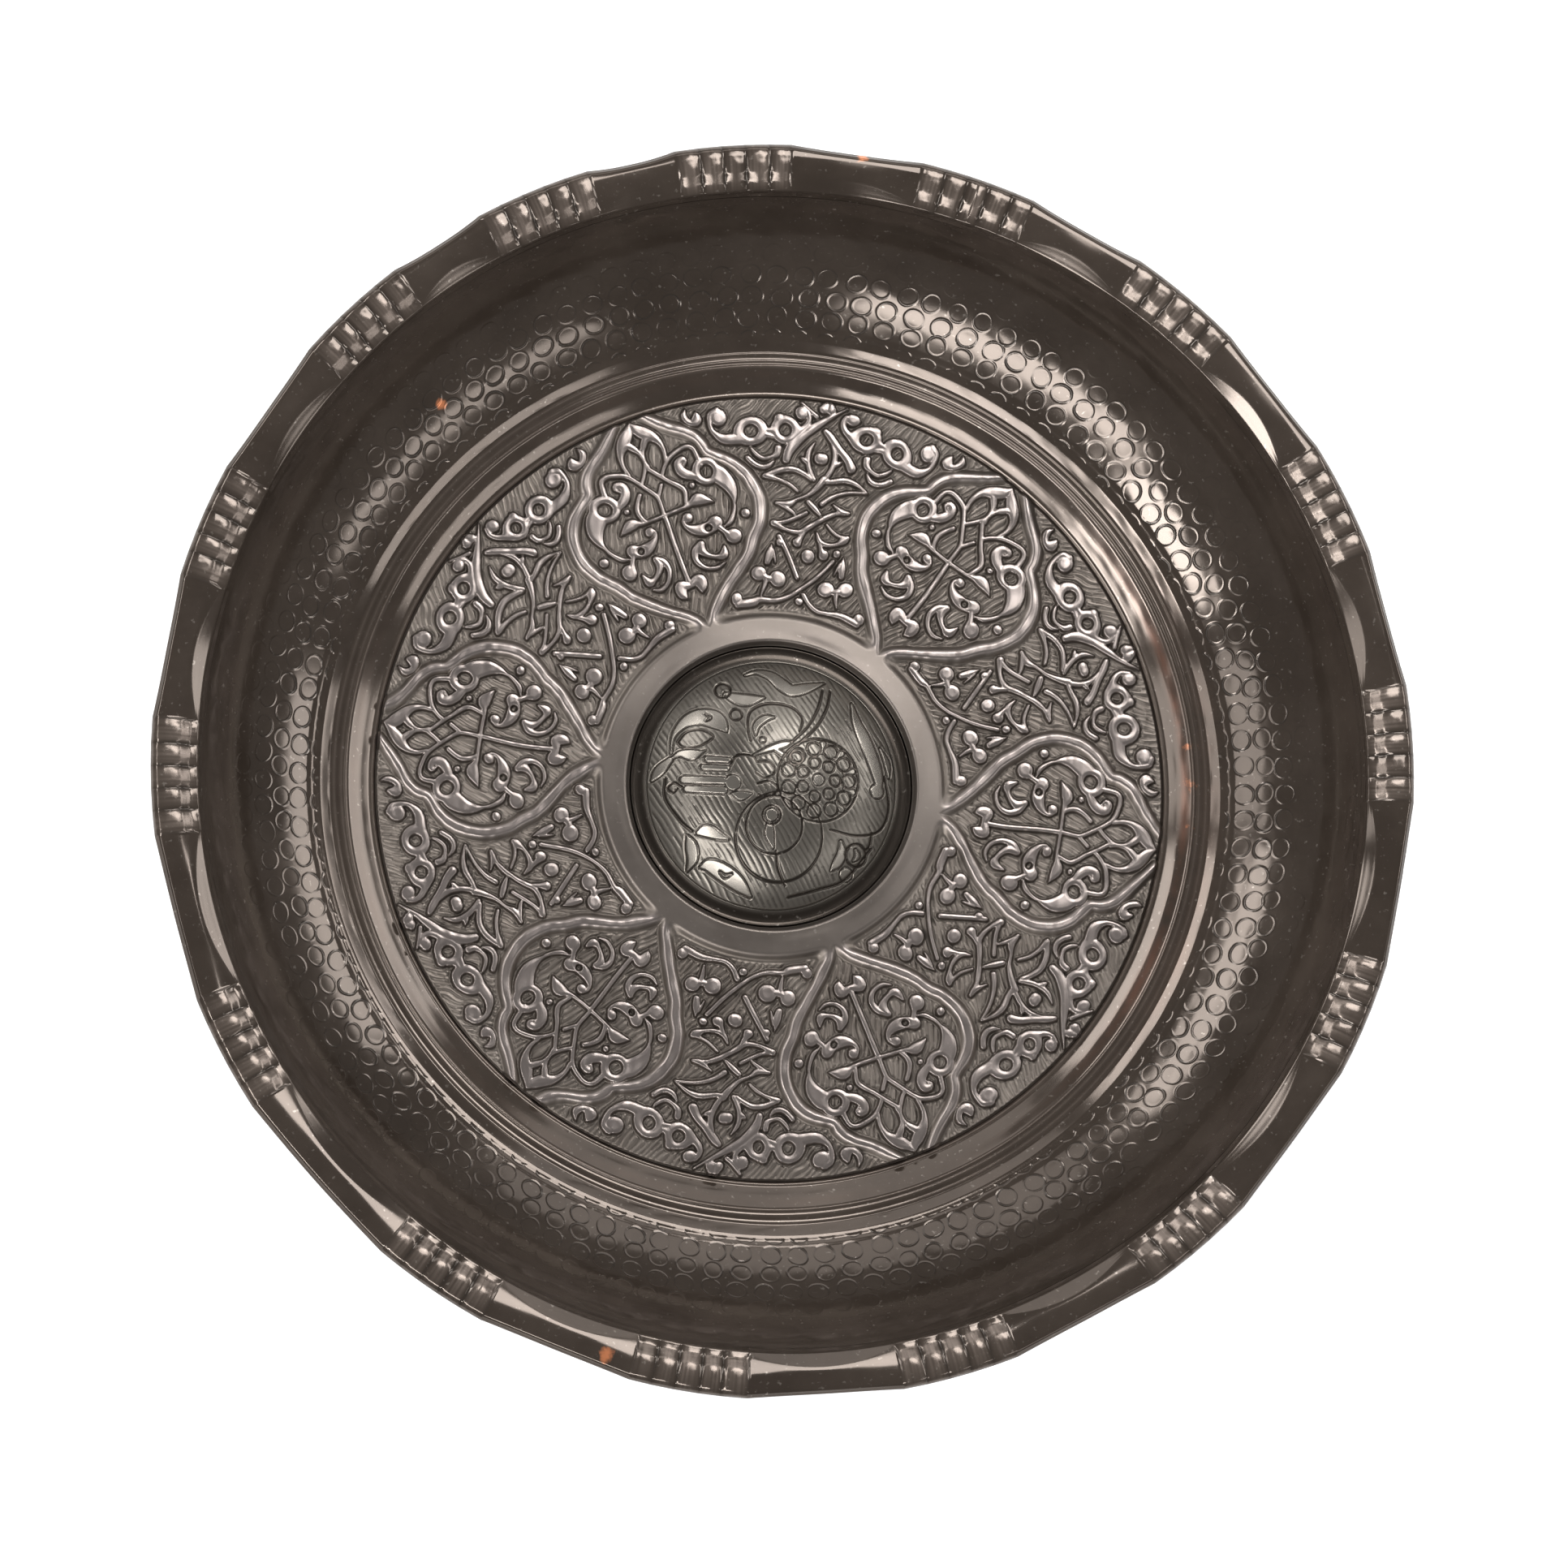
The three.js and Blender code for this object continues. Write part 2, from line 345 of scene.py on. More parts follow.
# Strokes are rows of (across, along, width), with along measured from the tray's centre.
# Leaf strokes are drawn once and mirrored in the leaf's axis.
LEAF_CORD = [
    (-0.9, 41.0, 1.6), (-2.2, 43.6, 2.0), (-4.8, 46.2, 2.2), (-7.7, 48.6, 2.2), (-11.5, 51.5, 2.3),
    (-15.1, 54.5, 2.3), (-17.5, 57.8, 2.3), (-20.5, 61.2, 2.3), (-22.5, 65.5, 2.4), (-23.0, 69.0, 2.4),
    (-22.5, 73.0, 2.4), (-21.0, 76.0, 2.3), (-19.0, 78.2, 2.2), (-16.5, 80.2, 2.1), (-15.5, 81.4, 2.1),
    (-15.2, 83.2, 2.2), (-14.3, 85.3, 2.2), (-12.5, 87.4, 2.2), (-9.0, 90.0, 2.1), (-6.0, 92.6, 2.0),
    (-3.8, 94.8, 1.8),
]
LEAF_STROKES = [
    [(0, 53.5, 0.9), (0, 62, 0.9), (0, 69.5, 0.9)],
    [(-1.9, 49.7, 0.4), (-2.5, 51.2, 1.7), (-2.2, 52.8, 1.9), (0, 52.3, 1.1)],
    [(-10.4, 58.4, 0.6), (-9.5, 56.4, 1.5), (-7.9, 56.6, 0.9), (-6.1, 57.8, 1.0), (-5.2, 59.4, 1.5),
     (-5.7, 60.8, 1.2)],
    [(-9.1, 54.5, 0.5), (-7.1, 53.9, 0.8), (-4.7, 54.9, 0.8), (-3.4, 57.2, 1.0), (-3.9, 59.5, 1.2),
     (-5.5, 60.9, 1.0)],
    [(-10.7, 64.7, 2.2), (-9.1, 64, 2.0), (-7.3, 63.9, 2.1), (-5.4, 64.5, 1.6), (-3.9, 65.8, 0.9),
     (-3.6, 67.2, 0.7), (-4.4, 68, 0.8)],
    [(-4.9, 67.7, 1.7)],
    [(-10.9, 63.6, 1.0), (-11.9, 61.8, 1.0), (-12.7, 60.4, 1.8)],
    [(-13.4, 60.1, 2.6)],
    [(-12.3, 63.1, 0.5), (-14, 63.7, 0.9), (-15.5, 65.2, 0.8), (-16.5, 66.8, 0.7), (-16.8, 68, 0.6)],
    [(-18.3, 64.4, 1.6)],
    [(-8.7, 74.7, 1.1)],
    [(-12.2, 69.4, 0.3), (-10, 70.6, 1.6), (-8.7, 71.1, 2.0), (-7.1, 70.8, 1.2), (-5.5, 70.4, 0.8),
     (0, 70.3, 0.8)],
    [(-16.7, 67.3, 0.5), (-17.4, 69.5, 1.4), (-17.4, 72, 2.4), (-16.3, 74.5, 3.0), (-14.6, 76.2, 3.2),
     (-13.2, 76.8, 4.4), (-11.0, 76.2, 1.6), (-8.5, 77.6, 1.7), (-7.3, 79.3, 1.7), (-7.4, 81, 1.5),
     (-8.7, 81.5, 1.3), (-9.4, 80.8, 0.8), (-8.6, 79.9, 0.5)],
    [(-4.9, 83.2, 0.8), (-5.4, 85.6, 0.9), (-5, 88, 1.2), (-3.7, 89.9, 1.8), (-2.1, 91.3, 2.0),
     (-0.8, 92.6, 1.5), (0, 94.2, 0.5)],
    [(-4.8, 88.3, 0.8), (-2.7, 89.6, 1.2), (-1.2, 88.4, 1.2), (-0.4, 87, 0.8), (0, 85, 0.8),
     (-0.2, 83.4, 1.0)],
    [(-14, 92.8, 0.4), (-13.2, 91.3, 1.2), (-13.6, 89.8, 1.2), (-14.7, 88.9, 1.3), (-16.1, 89.3, 1.9),
     (-16.2, 90.9, 0.8)],
    [(-24.5, 81.5, 2.0), (-21, 82.5, 1.8), (-19.1, 84.8, 1.1), (-18.9, 87, 1.0), (-19.8, 89.3, 1.2),
     (-21.4, 89.6, 1.6)],
    [(-21.6, 88, 2.8)],
    [(-24.5, 81.6, 1.8), (-27.7, 82.4, 4.6), (-30.0, 80.8, 1.4), (-32.5, 79.0, 0.8)],
]
LEAF_CUTS = [
    [(-8.6, 63.95, 1.4)],
    [(-13.4, 76.6, 3.0)],
    [(-27.7, 82.4, 2.8)],
]
# The interlaced knot in the leaf passes over and under, so it has no mirror image.
LEAF_KNOT = [
    [(-12.2, 78.5, 1.0), (-12.1, 81, 1.0), (-11.7, 83.2, 0.9), (-10.3, 84.1, 0.9), (-8.3, 84, 0.9),
     (-5.8, 83.2, 0.9), (-4.1, 81.5, 0.8), (-2, 78.5, 0.8), (-0.3, 75.8, 0.8), (0, 74, 0.8),
     (-0.1, 70.5, 0.8)],
    [(0.1, 83, 0.8), (2, 80.5, 0.8), (4, 77.7, 0.8), (5.5, 76, 0.9), (6.5, 74, 0.9), (5.7, 71, 0.8)],
    [(12.7, 78.5, 1.0), (12.6, 81, 1.0), (12.2, 83.2, 0.9), (10.8, 84.1, 0.9), (8.6, 84, 0.9),
     (5.8, 83.2, 0.9), (3.8, 81.5, 0.8), (2.7, 80.0, 0.8)],
    [(1.7, 77.9, 0.8), (0.2, 75.5, 0.8)],
    [(-0.4, 83.5, 0.8), (-1.7, 81.4, 0.8), (-2.6, 80.3, 0.8)],
    [(-4.2, 77.6, 0.9), (-5.4, 75.8, 0.9), (-6.1, 73.8, 1.0), (-5.7, 71.8, 0.9), (-5, 70.6, 0.8)],
]
# The panel between two leaves: mirrored strokes, then the interlaced ones.
PANEL_STROKES = [
    [(0, 57.2, 2.3)],
    [(-0.4, 81.4, 1.9)],
    [(0, 45.6, 1.4)],
    [(-15, 43.4, 1.8)],
    [(-7.3, 58.8, 1.4)],
    [(-6.1, 49.8, 2.7)],
    [(-10.9, 50, 2.5)],
    [(-6.1, 49.8, 1.0), (-8.6, 49.3, 1.3), (-10.9, 50, 1.0)],
    [(-8.9, 49.0, 1.0), (-8.9, 47.5, 0.8), (-9.3, 45.4, 0.5)],
    [(-9.4, 53.3, 1.1), (-9.2, 55.5, 1.3), (-9.2, 58, 0.3)],
    [(-8.7, 56.5, 0.7), (-8.0, 55.0, 0.6), (-7.5, 53.6, 0.4)],
    [(-2, 85.2, 0.4), (-3.1, 83.2, 0.9), (-3.4, 81.5, 1.0), (-3, 79.3, 1.0), (-2, 77.2, 1.0),
     (-1.2, 76.1, 0.9)],
    [(-5.2, 81.1, 0.3), (-4.2, 80.6, 1.0), (-3.2, 80.1, 1.0)],
    [(-0.8, 93.2, 1.8), (-0.4, 95, 0.6)],
    [(-9.6, 86.8, 4.4), (-6.3, 87.2, 1.6), (-4.6, 88.6, 1.1), (-4.1, 90.3, 1.0), (-4.8, 91.8, 1.0)],
    [(-6.2, 91.3, 2.2)],
    [(-9.6, 86.8, 4.2), (-12.5, 86.2, 1.4), (-14.5, 85.8, 1.0)],
    [(-11.3, 89.0, 1.8), (-10.6, 88.0, 1.6)],
    [(-10.6, 82.3, 1.2), (-10.8, 80.8, 1.1), (-12, 79.8, 0.8), (-13.8, 79.2, 0.8), (-15.5, 80, 0.8),
     (-16.5, 81, 0.6)],
    [(-11.3, 79, 0.5), (-12.3, 77.6, 0.9), (-13.8, 77, 1.0), (-15.5, 77.4, 1.0), (-17, 78.5, 1.0)],
]
PANEL_CUTS = [[(-9.6, 86.8, 2.6)]]
PANEL_KNOTS = [
    [(6.6, 57, 0.8), (3.5, 52.8, 0.8), (0.3, 49.2, 0.8), (-2.3, 46.6, 0.8), (-5.5, 44.9, 0.9),
     (-9.5, 44.3, 1.0), (-11, 43.4, 1.4), (-14.5, 42.3, 1.3)],
    [(-7.8, 60.3, 0.9), (-4.2, 55.4, 0.9), (-1.5, 51.5, 0.9)],
    [(0.9, 47.6, 0.9), (2.5, 45.3, 0.9), (4.5, 43.9, 0.9), (7, 43.7, 0.9), (10.5, 43.6, 1.2),
     (14.5, 42.3, 1.3)],
    [(1.2, 63.2, 0.5), (2.3, 61.3, 1.0), (4.5, 60.7, 0.9), (7, 61.2, 0.8), (8.8, 62.4, 1.5),
     (9.8, 63.2, 0.4)],
    [(9.3, 62.9, 0.8), (7.2, 63.2, 0.7), (5.5, 64, 0.7), (3.5, 65.6, 0.6)],
    [(2.3, 61.3, 0.9), (3, 59.5, 0.9), (3.6, 58.5, 1.5)],
    [(3.9, 58.2, 1.8)],
    [(-9.5, 63.3, 1.3), (-7, 62.4, 0.8), (-4.5, 62.2, 0.9), (-2.6, 62.7, 1.0), (-1.2, 64, 1.0),
     (0.5, 65.4, 0.9), (2.8, 67, 0.9), (5, 68.2, 0.8)],
    [(-9.5, 63.3, 0.9), (-7, 64.2, 0.8), (-4.5, 65.8, 0.8), (-2.2, 67.5, 0.8)],
    [(-2.2, 62.5, 0.9), (-2.8, 61, 1.0), (-3.3, 59.8, 1.6)],
    [(-9.5, 68.5, 0.8), (-6.8, 68.8, 1.2), (-5, 70.3, 0.7), (-2.5, 71.8, 0.8), (-0.8, 73.5, 1.0),
     (0.5, 75.2, 1.2), (1.3, 76.5, 1.3)],
    [(-8.5, 68.3, 0.8), (-6, 67.2, 0.8), (-5, 66.5, 0.6)],
    [(8.8, 69, 0.8), (7, 69.1, 1.2), (5.6, 70, 0.7), (4.6, 70.6, 0.5)],
    [(7, 68.9, 0.9), (4.5, 68.2, 0.8), (2.5, 67, 0.9)],
    [(-2, 70.3, 1.0), (-0.3, 69, 1.1), (1.4, 67.6, 0.7)],
    [(1.5, 70.4, 1.0), (3.2, 71.9, 0.9), (5.5, 73.2, 0.8), (8.5, 74.1, 0.7), (12.2, 74.5, 0.6)],
    [(-12.5, 75, 1.2), (-9.5, 74.6, 0.8), (-7, 73.8, 0.8), (-5, 72.5, 0.7)],
    [(-13, 74.8, 0.8), (-11.3, 76, 1.0), (-9, 77.3, 1.1), (-6.2, 77.8, 1.1), (-3.6, 77, 1.0),
     (-2, 76.2, 1.0)],
    [(1.3, 76, 0.9), (3.5, 76.2, 1.0), (6.5, 76.8, 1.1), (9, 76.4, 0.9), (11, 75.4, 0.6),
     (12.3, 74.7, 0.4)],
    [(-8.6, 79.8, 1.3), (-8.2, 82, 1.6), (-7, 84.2, 1.7), (-5, 86.5, 1.5), (-2.5, 88.6, 1.4),
     (0.3, 90.7, 1.0), (3, 92.8, 0.6), (4.8, 94.2, 0.3)],
    [(7.6, 79.7, 1.5), (6.3, 81.7, 1.3), (4, 84, 1.2), (1.5, 86.8, 1.3), (0.3, 87.9, 1.0)],
    [(-2.3, 91, 0.9), (-4, 92, 0.8), (-6.5, 93.8, 0.6)],
]


def leaf_angle(degrees):
    """Angle from the nearest leaf's axis."""
    return (degrees - FIRST_LEAF + WEDGE / 2) % WEDGE - WEDGE / 2


class Wedge(Drawing):
    """One sixth of the floor's annulus, from -30 to 30 degrees about a leaf's axis."""

    STEP = 0.1

    def __init__(self):
        self.radius = np.arange(33.0, 96.5, self.STEP)
        self.angle = np.linspace(-WEDGE / 2, WEDGE / 2, 1001)
        r, a = np.meshgrid(self.radius, np.radians(self.angle), indexing="ij")
        super().__init__(r * np.cos(a), r * np.sin(a))

    def windows(self, a, b):
        reach = self.REACH + max(a[2], b[2]) / 2
        ra, rb = np.hypot(*a[:2]), np.hypot(*b[:2])
        low = np.searchsorted(self.radius, min(ra, rb) - reach)
        high = np.searchsorted(self.radius, max(ra, rb) + reach)
        ta = np.degrees(np.arctan2(a[1], a[0]))
        tb = np.degrees(np.arctan2(b[1], b[0]))
        spread = np.degrees(reach / max(min(ra, rb), 1))
        left = np.searchsorted(self.angle, min(ta, tb) - spread)
        right = np.searchsorted(self.angle, max(ta, tb) + spread)
        if low < high and left < right:
            yield slice(low, high), slice(left, right)

    def place(self, points, axis, mirror=1, widen=1.0):
        """(across, along, width) rows in a frame at axis degrees, as (x, y, width)."""
        p = np.asarray(points, float)
        t = math.radians(axis)
        across = p[:, 0] * mirror
        x = p[:, 1] * math.cos(t) + across * math.sin(t)
        y = p[:, 1] * math.sin(t) - across * math.cos(t)
        return np.stack([x, y, p[:, 2] * widen], -1)

    def draw(self):
        for turn in (-WEDGE, 0, WEDGE):
            for mirror in (1, -1):
                self.add(self.place(LEAF_CORD, turn, mirror, CORD_WIDEN), "cord")
                for points in LEAF_STROKES:
                    self.add(self.place(points, turn, mirror, STROKE_WIDEN))
                for points in LEAF_CUTS:
                    self.add(self.place(points, turn, mirror), cut=True)
            for points in LEAF_KNOT:
                self.add(self.place(points, turn, 1, STROKE_WIDEN))
        for turn in (-WEDGE / 2, WEDGE / 2):
            for mirror in (1, -1):
                for points in PANEL_STROKES:
                    self.add(self.place(points, turn, mirror, STROKE_WIDEN))
                for points in PANEL_CUTS:
                    self.add(self.place(points, turn, mirror), cut=True)
            for points in PANEL_KNOTS:
                self.add(self.place(points, turn, 1, STROKE_WIDEN))

    def sample(self, field, r, degrees):
        """The field's value at polar points, wrapped to this wedge."""
        column = (leaf_angle(degrees) + WEDGE / 2) / WEDGE * (len(self.angle) - 1)
        return bilinear(field, (r - self.radius[0]) / self.STEP, column)


DICE = 997  # how many random numbers the engraved lines and the flutes pick from
DASH_LENGTH = 3.0


def hatch(x, y, heading, pitch, seed, sway=0.25):
    """Depth, 0 to 1, of short engraved lines that run along a heading in degrees."""
    t = math.radians(heading)
    across = (-x * math.sin(t) + y * math.cos(t)) / pitch
    along = x * math.cos(t) + y * math.sin(t)
    across = across + sway * waves(seed, 4, 5, 14)(x, y)
    line = np.floor(across).astype(int)
    dice = np.random.default_rng(seed).uniform(0, 1, DICE)
    start = dice[(line * 37) % DICE] * 3 * DASH_LENGTH
    dash = np.floor((along + start) / DASH_LENGTH).astype(int)
    strength = dice[(line * 53 + dash * 71) % DICE]
    groove = np.clip(1 - np.abs(across - line - 0.5) / 0.36, 0, 1)
    return groove * (0.35 + 0.65 * strength)


FLOOR_COLUMNS = 396 * LEAVES
FLOOR_ROWS_RING = 22
FLOOR_ROWS_FIELD = 222


def floor_grid():
    """Radii and angles of the plate's grid: the ring's rows, then the field's."""
    join = RING[1] + 0.8
    ring_rows = np.linspace(BOSS_FOOT + 0.4, join, FLOOR_ROWS_RING, endpoint=False)
    field_rows = np.linspace(join, PLATE_RADIUS, FLOOR_ROWS_FIELD)
    return np.meshgrid(np.concatenate([ring_rows, field_rows]), full_circle(FLOOR_COLUMNS), indexing="ij")


def drawn_distances(r, a, x, y):
    """Distances to the strokes and to the leaves' outlines. Each leaf is drawn a little
    differently, as in a hand-cut die."""
    wedge = Wedge()
    wedge.draw()
    fade = smooth((r - 44) / 6) * smooth((95 - r) / 4)
    warped_r = r + 0.45 * fade * waves(3, 6, 22, 60)(x, y)
    warped_a = a + np.degrees(0.5 * fade * waves(4, 6, 22, 60)(x, y) / r)
    return [wedge.sample(field, warped_r, warped_a) for field in (wedge.stroke, wedge.cord)]


def outline_rise(cord, r):
    """Distance to the band that the leaves' outlines and the ring make together, and its height."""
    ring = np.maximum(2 * (RING[0] - r), r - RING[1])
    blend = np.clip(0.5 + 0.5 * (cord - ring) / RING_BLEND, 0, 1)
    band = cord * (1 - blend) + ring * blend - RING_BLEND * blend * (1 - blend)
    inside = np.clip(1 + band / OUTLINE_SHOULDER, 0, 1)
    flange = RING_CROWN * np.clip((RING[1] + 0.5 - r) / (RING[1] - RING[0]), 0, 1) ** 1.2
    rise = (CORD_RISE + flange) * np.sin(np.pi / 2 * (1 - inside)) ** 1.2
    return band, np.where(band > 0, 0, rise)


def stroke_rise(stroke):
    """Height of the scrollwork: steep sides and a slightly crowned top."""
    return STROKE_RISE * smooth((0.14 - stroke) / 0.44) + 0.12 * smooth((-0.25 - stroke) / 0.9)


def ground_lines(r, a):
    """The ground's engraved lines, one way in the leaves and another in the panels."""
    angle = leaf_angle(a)
    x, y = r * np.cos(np.radians(angle)), r * np.sin(np.radians(angle))
    in_leaf = smooth(np.interp(x, *LEAF_HALF_WIDTH) - np.abs(y))
    heading, pitch = PANEL_HATCH
    high, low = (hatch(x, y, side * WEDGE / 2 + heading, pitch, 12) for side in (1, -1))
    return hatch(x, y, *LEAF_HATCH, 11) * in_leaf + np.where(angle > 0, high, low) * (1 - in_leaf)


def floor_surface():
    """The plate's grid of points, with how rubbed and how dirty each one is."""
    r, a = floor_grid()
    x, y = r * np.cos(np.radians(a)), r * np.sin(np.radians(a))
    stroke, cord = drawn_distances(r, a, x, y)
    band, band_rise = outline_rise(cord, r)
    rise = np.maximum(band_rise, stroke_rise(stroke))
    clear = np.minimum(stroke, band)
    on_ground = smooth((clear - 0.25) / 0.3) * smooth((r - RING[1] - 0.7) / 0.8) * smooth((95 - r) / 0.8)
    lines = ground_lines(r, a) * on_ground
    groove = hill(clear - 0.28, 0.3) * smooth((r - RING[1]) / 0.6)
    uneven = 0.05 * waves(7, 10, 2.5, 9)(x, y) * smooth((r - 42) / 3) + 0.1 * waves(8, 6, 15, 50)(x, y)
    edge_line = 0.5 * hill(r - 34.7, 0.35) * (r < 35.4)
    edge_drop = PLATE_EDGE_DROP * smooth((r - (PLATE_RADIUS - 0.55)) / 0.55)
    z = GROUND + rise - GROOVE_DEPTH * groove * (rise < 0.5) - HATCH_DEPTH * lines
    z = z + uneven * smooth((r - 36) / 2) + edge_line - edge_drop
    on_ring = smooth((RING[1] + 0.8 - r) / 1.5)
    rub = smooth((rise / TOP_RISE - 0.3) / 0.5) * (1 - 0.75 * on_ring)
    dirt = np.clip(0.54 * groove * (1 - rub) + 0.65 * lines + 0.22 * on_ring, 0, 1)
    return np.stack([x, y, z], -1), {"rub": rub, "dirt": dirt}


# ---------------------------------------------------------------- wall and moulding

BOWL_COLUMNS = 600 * LEAVES
MOULDING_COLUMNS = 1200
MOULDING_CRESTS = [(95.9, 0.4), (102.35, 0.5), (103.55, 0.25), (105.3, 0.25)]
PUNCH_RADIUS = 2.35
PUNCH_GROOVE = (0.2, 0.09)  # half width and depth
PUNCH_TILT = 0.014
PUNCH_SUNK = 0.015
PUNCH_DISH = 0.006
PUNCH_START = 109.3  # the marks fade out below this radius
BEATEN_DEPTH = 0.008
BOWL_ROW_STEP = 0.19
BOWL_UPPER_ROWS = 26  # above the punched marks
PUNCH_ROWS = [  # radius, number of marks, strength
    (108.4, 108, 0.9),
    (113.7, 108, 1.0),
    (118.3, 112, 1.0),
    (122.8, 119, 0.85),
    (127.3, 122, 0.25),
]
MOULDING = [
    (95.3, 1.0), (95.9, 1.45), (96.3, 1.3), (96.6, 1.4), (97.0, 1.62), (97.8, 2.1), (98.6, 2.59),
    (99.3, 3.0), (100.1, 3.42), (101.0, 3.88), (101.7, 4.24), (102.0, 4.45), (102.35, 4.8),
    (102.75, 4.4), (103.2, 4.38), (103.55, 4.6), (103.9, 4.4), (104.9, 4.4), (105.3, 4.6),
    (105.7, 4.4), (106.0, 4.5),
]
# The moulding's outer edge: a narrow sloping band before the wall proper.
SHOULDER = [
    (106.4, 4.7), (107.1, 5.13), (107.9, 5.62), (108.6, 6.04), (109.3, 6.24), (110.1, 6.4), (110.9, 6.82),
]
WALL_JOIN = 0.082  # where the shoulder runs into the wall, along its Bezier
WALL = [(108, 5.2), (124.1, 13.2), (133.2, 21.5), (138.9, 34.3)]  # Bezier points (r, z)
WALL_SHEET = 0.9
WALL_STOP = 0.95  # where the wall's pieces end and the rim's begin, along the Bezier


def wall_points(t, outward=0.0):
    """Points of the wall's profile, upwards, pushed out from its inner face by a distance."""
    a, b, c, d = np.array(WALL)
    t = np.asarray(t, float)[:, None]
    point = (1 - t) ** 3 * a + 3 * (1 - t) ** 2 * t * b + 3 * (1 - t) * t**2 * c + t**3 * d
    along = (1 - t) ** 2 * (b - a) + 2 * (1 - t) * t * (c - b) + t**2 * (d - c)
    along /= np.linalg.norm(along, axis=1, keepdims=True)
    return point + outward * np.stack([along[:, 1], -along[:, 0]], -1)


def resample(points, spacing):
    """Points along a polyline, spacing apart on average, with its corners slightly rounded."""
    p = np.asarray(points, float)
    length = path_length(p)
    q = along_path(np.linspace(0, length[-1], int(length[-1] / 0.04) + 1), length, p)
    kernel = hill(np.arange(-12, 13), 5.0)
    kernel /= kernel.sum()
    padded = np.concatenate([2 * q[0] - q[12:0:-1], q, 2 * q[-1] - q[-2:-14:-1]])
    q = np.stack([np.convolve(padded[:, k], kernel, "valid") for k in (0, 1)], -1)
    length = path_length(q)
    return along_path(np.linspace(0, length[-1], int(round(length[-1] / spacing)) + 1), length, q)


def profile_normals(q):
    t = np.gradient(q, axis=0)
    n = np.stack([-t[:, 1], t[:, 0]], -1)
    return n / np.linalg.norm(n, axis=1, keepdims=True)


def punched(radius_along, arc_along, degrees):
    """How the ring punches move the wall, and how deep their outlines are, at profile radius and
    arc length, and angle. Each mark is a flat disc, a little tilted, in a thin uneven groove."""
    rng = np.random.default_rng(21)
    half_width, depth = PUNCH_GROOVE
    push = np.zeros((len(radius_along), len(degrees)))
    outline = np.zeros_like(push)
    for row, (row_radius, count, strength) in enumerate(PUNCH_ROWS):
        pitch = 360 / count
        centre_arc = np.interp(row_radius, radius_along, arc_along)
        offset = (row % 2) * pitch / 2 + 1.3 * row
        shift_a = rng.uniform(-0.07, 0.07, count) * pitch
        shift_s = rng.uniform(-0.3, 0.3, count) + 0.3 * np.sin(np.arange(count) * 0.35 + row)
        power = strength * rng.uniform(0.7, 1.15, count)
        tilt_a, tilt_s = rng.uniform(-PUNCH_TILT, PUNCH_TILT, (2, count))
        oval = rng.uniform(0, 0.06, count)
        corner = rng.uniform(0, 0.1, count)
        turn = rng.uniform(0, 6.3, count)
        near = np.abs(arc_along - centre_arc) < 4
        ds = (arc_along - centre_arc)[near][:, None]
        index = np.floor((degrees - offset) / pitch).astype(int)
        for k in (0, 1):
            j = (index + k) % count
            da = degrees - offset - (index + k) * pitch - shift_a[j]
            along = np.radians(da)[None, :] * radius_along[near][:, None]
            across = ds - shift_s[j][None, :]
            heading = np.arctan2(across, along) - turn[j]
            reach = 1 + oval[j] * np.cos(2 * heading) + corner[j] * smooth(np.cos(heading) * 2 - 1)
            rho = np.hypot(along, across) / reach
            uneven = 0.75 + 0.35 * np.cos(heading + 1)
            groove = hill(rho - PUNCH_RADIUS, half_width) * power[j] * uneven
            disc = smooth((PUNCH_RADIUS + 0.1 - rho) / 0.4) * np.minimum(power[j], 1)
            dish = PUNCH_DISH * (1 - (rho / PUNCH_RADIUS) ** 2)
            face = disc * (tilt_a[j] * along + tilt_s[j] * across - PUNCH_SUNK - dish)
            push[near] = np.minimum(push[near], -depth * groove) + face
            outline[near] = np.maximum(outline[near], groove)
    return push, outline


def wobble(degrees):
    """How far the hand-beaten wall stands out from a true circle, by angle."""
    a = np.radians(degrees)
    return 0.22 * np.sin(2 * a + 0.6) + 0.16 * np.sin(3 * a + 2.1) + 0.1 * np.sin(5 * a + 4.0)


def wall_piece_points(q, columns, normal, push):
    """The grid of points of a turned profile, pushed out along its normals."""
    degrees = full_circle(columns)
    a = np.radians(degrees)[None, :]
    lift = smooth((q[:, 1] - 6) / 20)[:, None]
    r = q[:, :1] + normal[:, :1] * push + wobble(degrees)[None, :] * lift
    z = q[:, 1:] + normal[:, 1:] * push
    return np.stack([np.maximum(r, 0) * np.cos(a), np.maximum(r, 0) * np.sin(a), z], -1)


def beaten(q, columns):
    """The slight unevenness that hammering leaves."""
    a = np.radians(full_circle(columns))[None, :]
    return waves(31, 8, 7, 20)(q[:, :1] * np.cos(a) + 3 * q[:, 1:], q[:, :1] * np.sin(a))


def dish_marks(p, rub, dirt):
    """A dish piece's marks: how rubbed and dirty it is, and where the copper shows."""
    x, y = p[:, :, 0], p[:, :, 1]
    return {"rub": rub + 0 * x, "dirt": dirt + 0 * x, "wear": wear_patches(x, y), "blush": blush(x, y)}


def moulding_surface():
    q = resample([*MOULDING, SHOULDER[0]], 0.17)
    calm = smooth((q[:, :1] - 97) / 2) * smooth(SHOULDER[0][0] - q[:, :1])
    push = BEATEN_DEPTH * beaten(q, MOULDING_COLUMNS) * calm
    p = wall_piece_points(q, MOULDING_COLUMNS, profile_normals(q), push)
    crest = sum(share * hill(q[:, :1] - at, 0.4) for at, share in MOULDING_CRESTS)
    return p, dish_marks(p, np.clip(crest, 0, 1), 0)


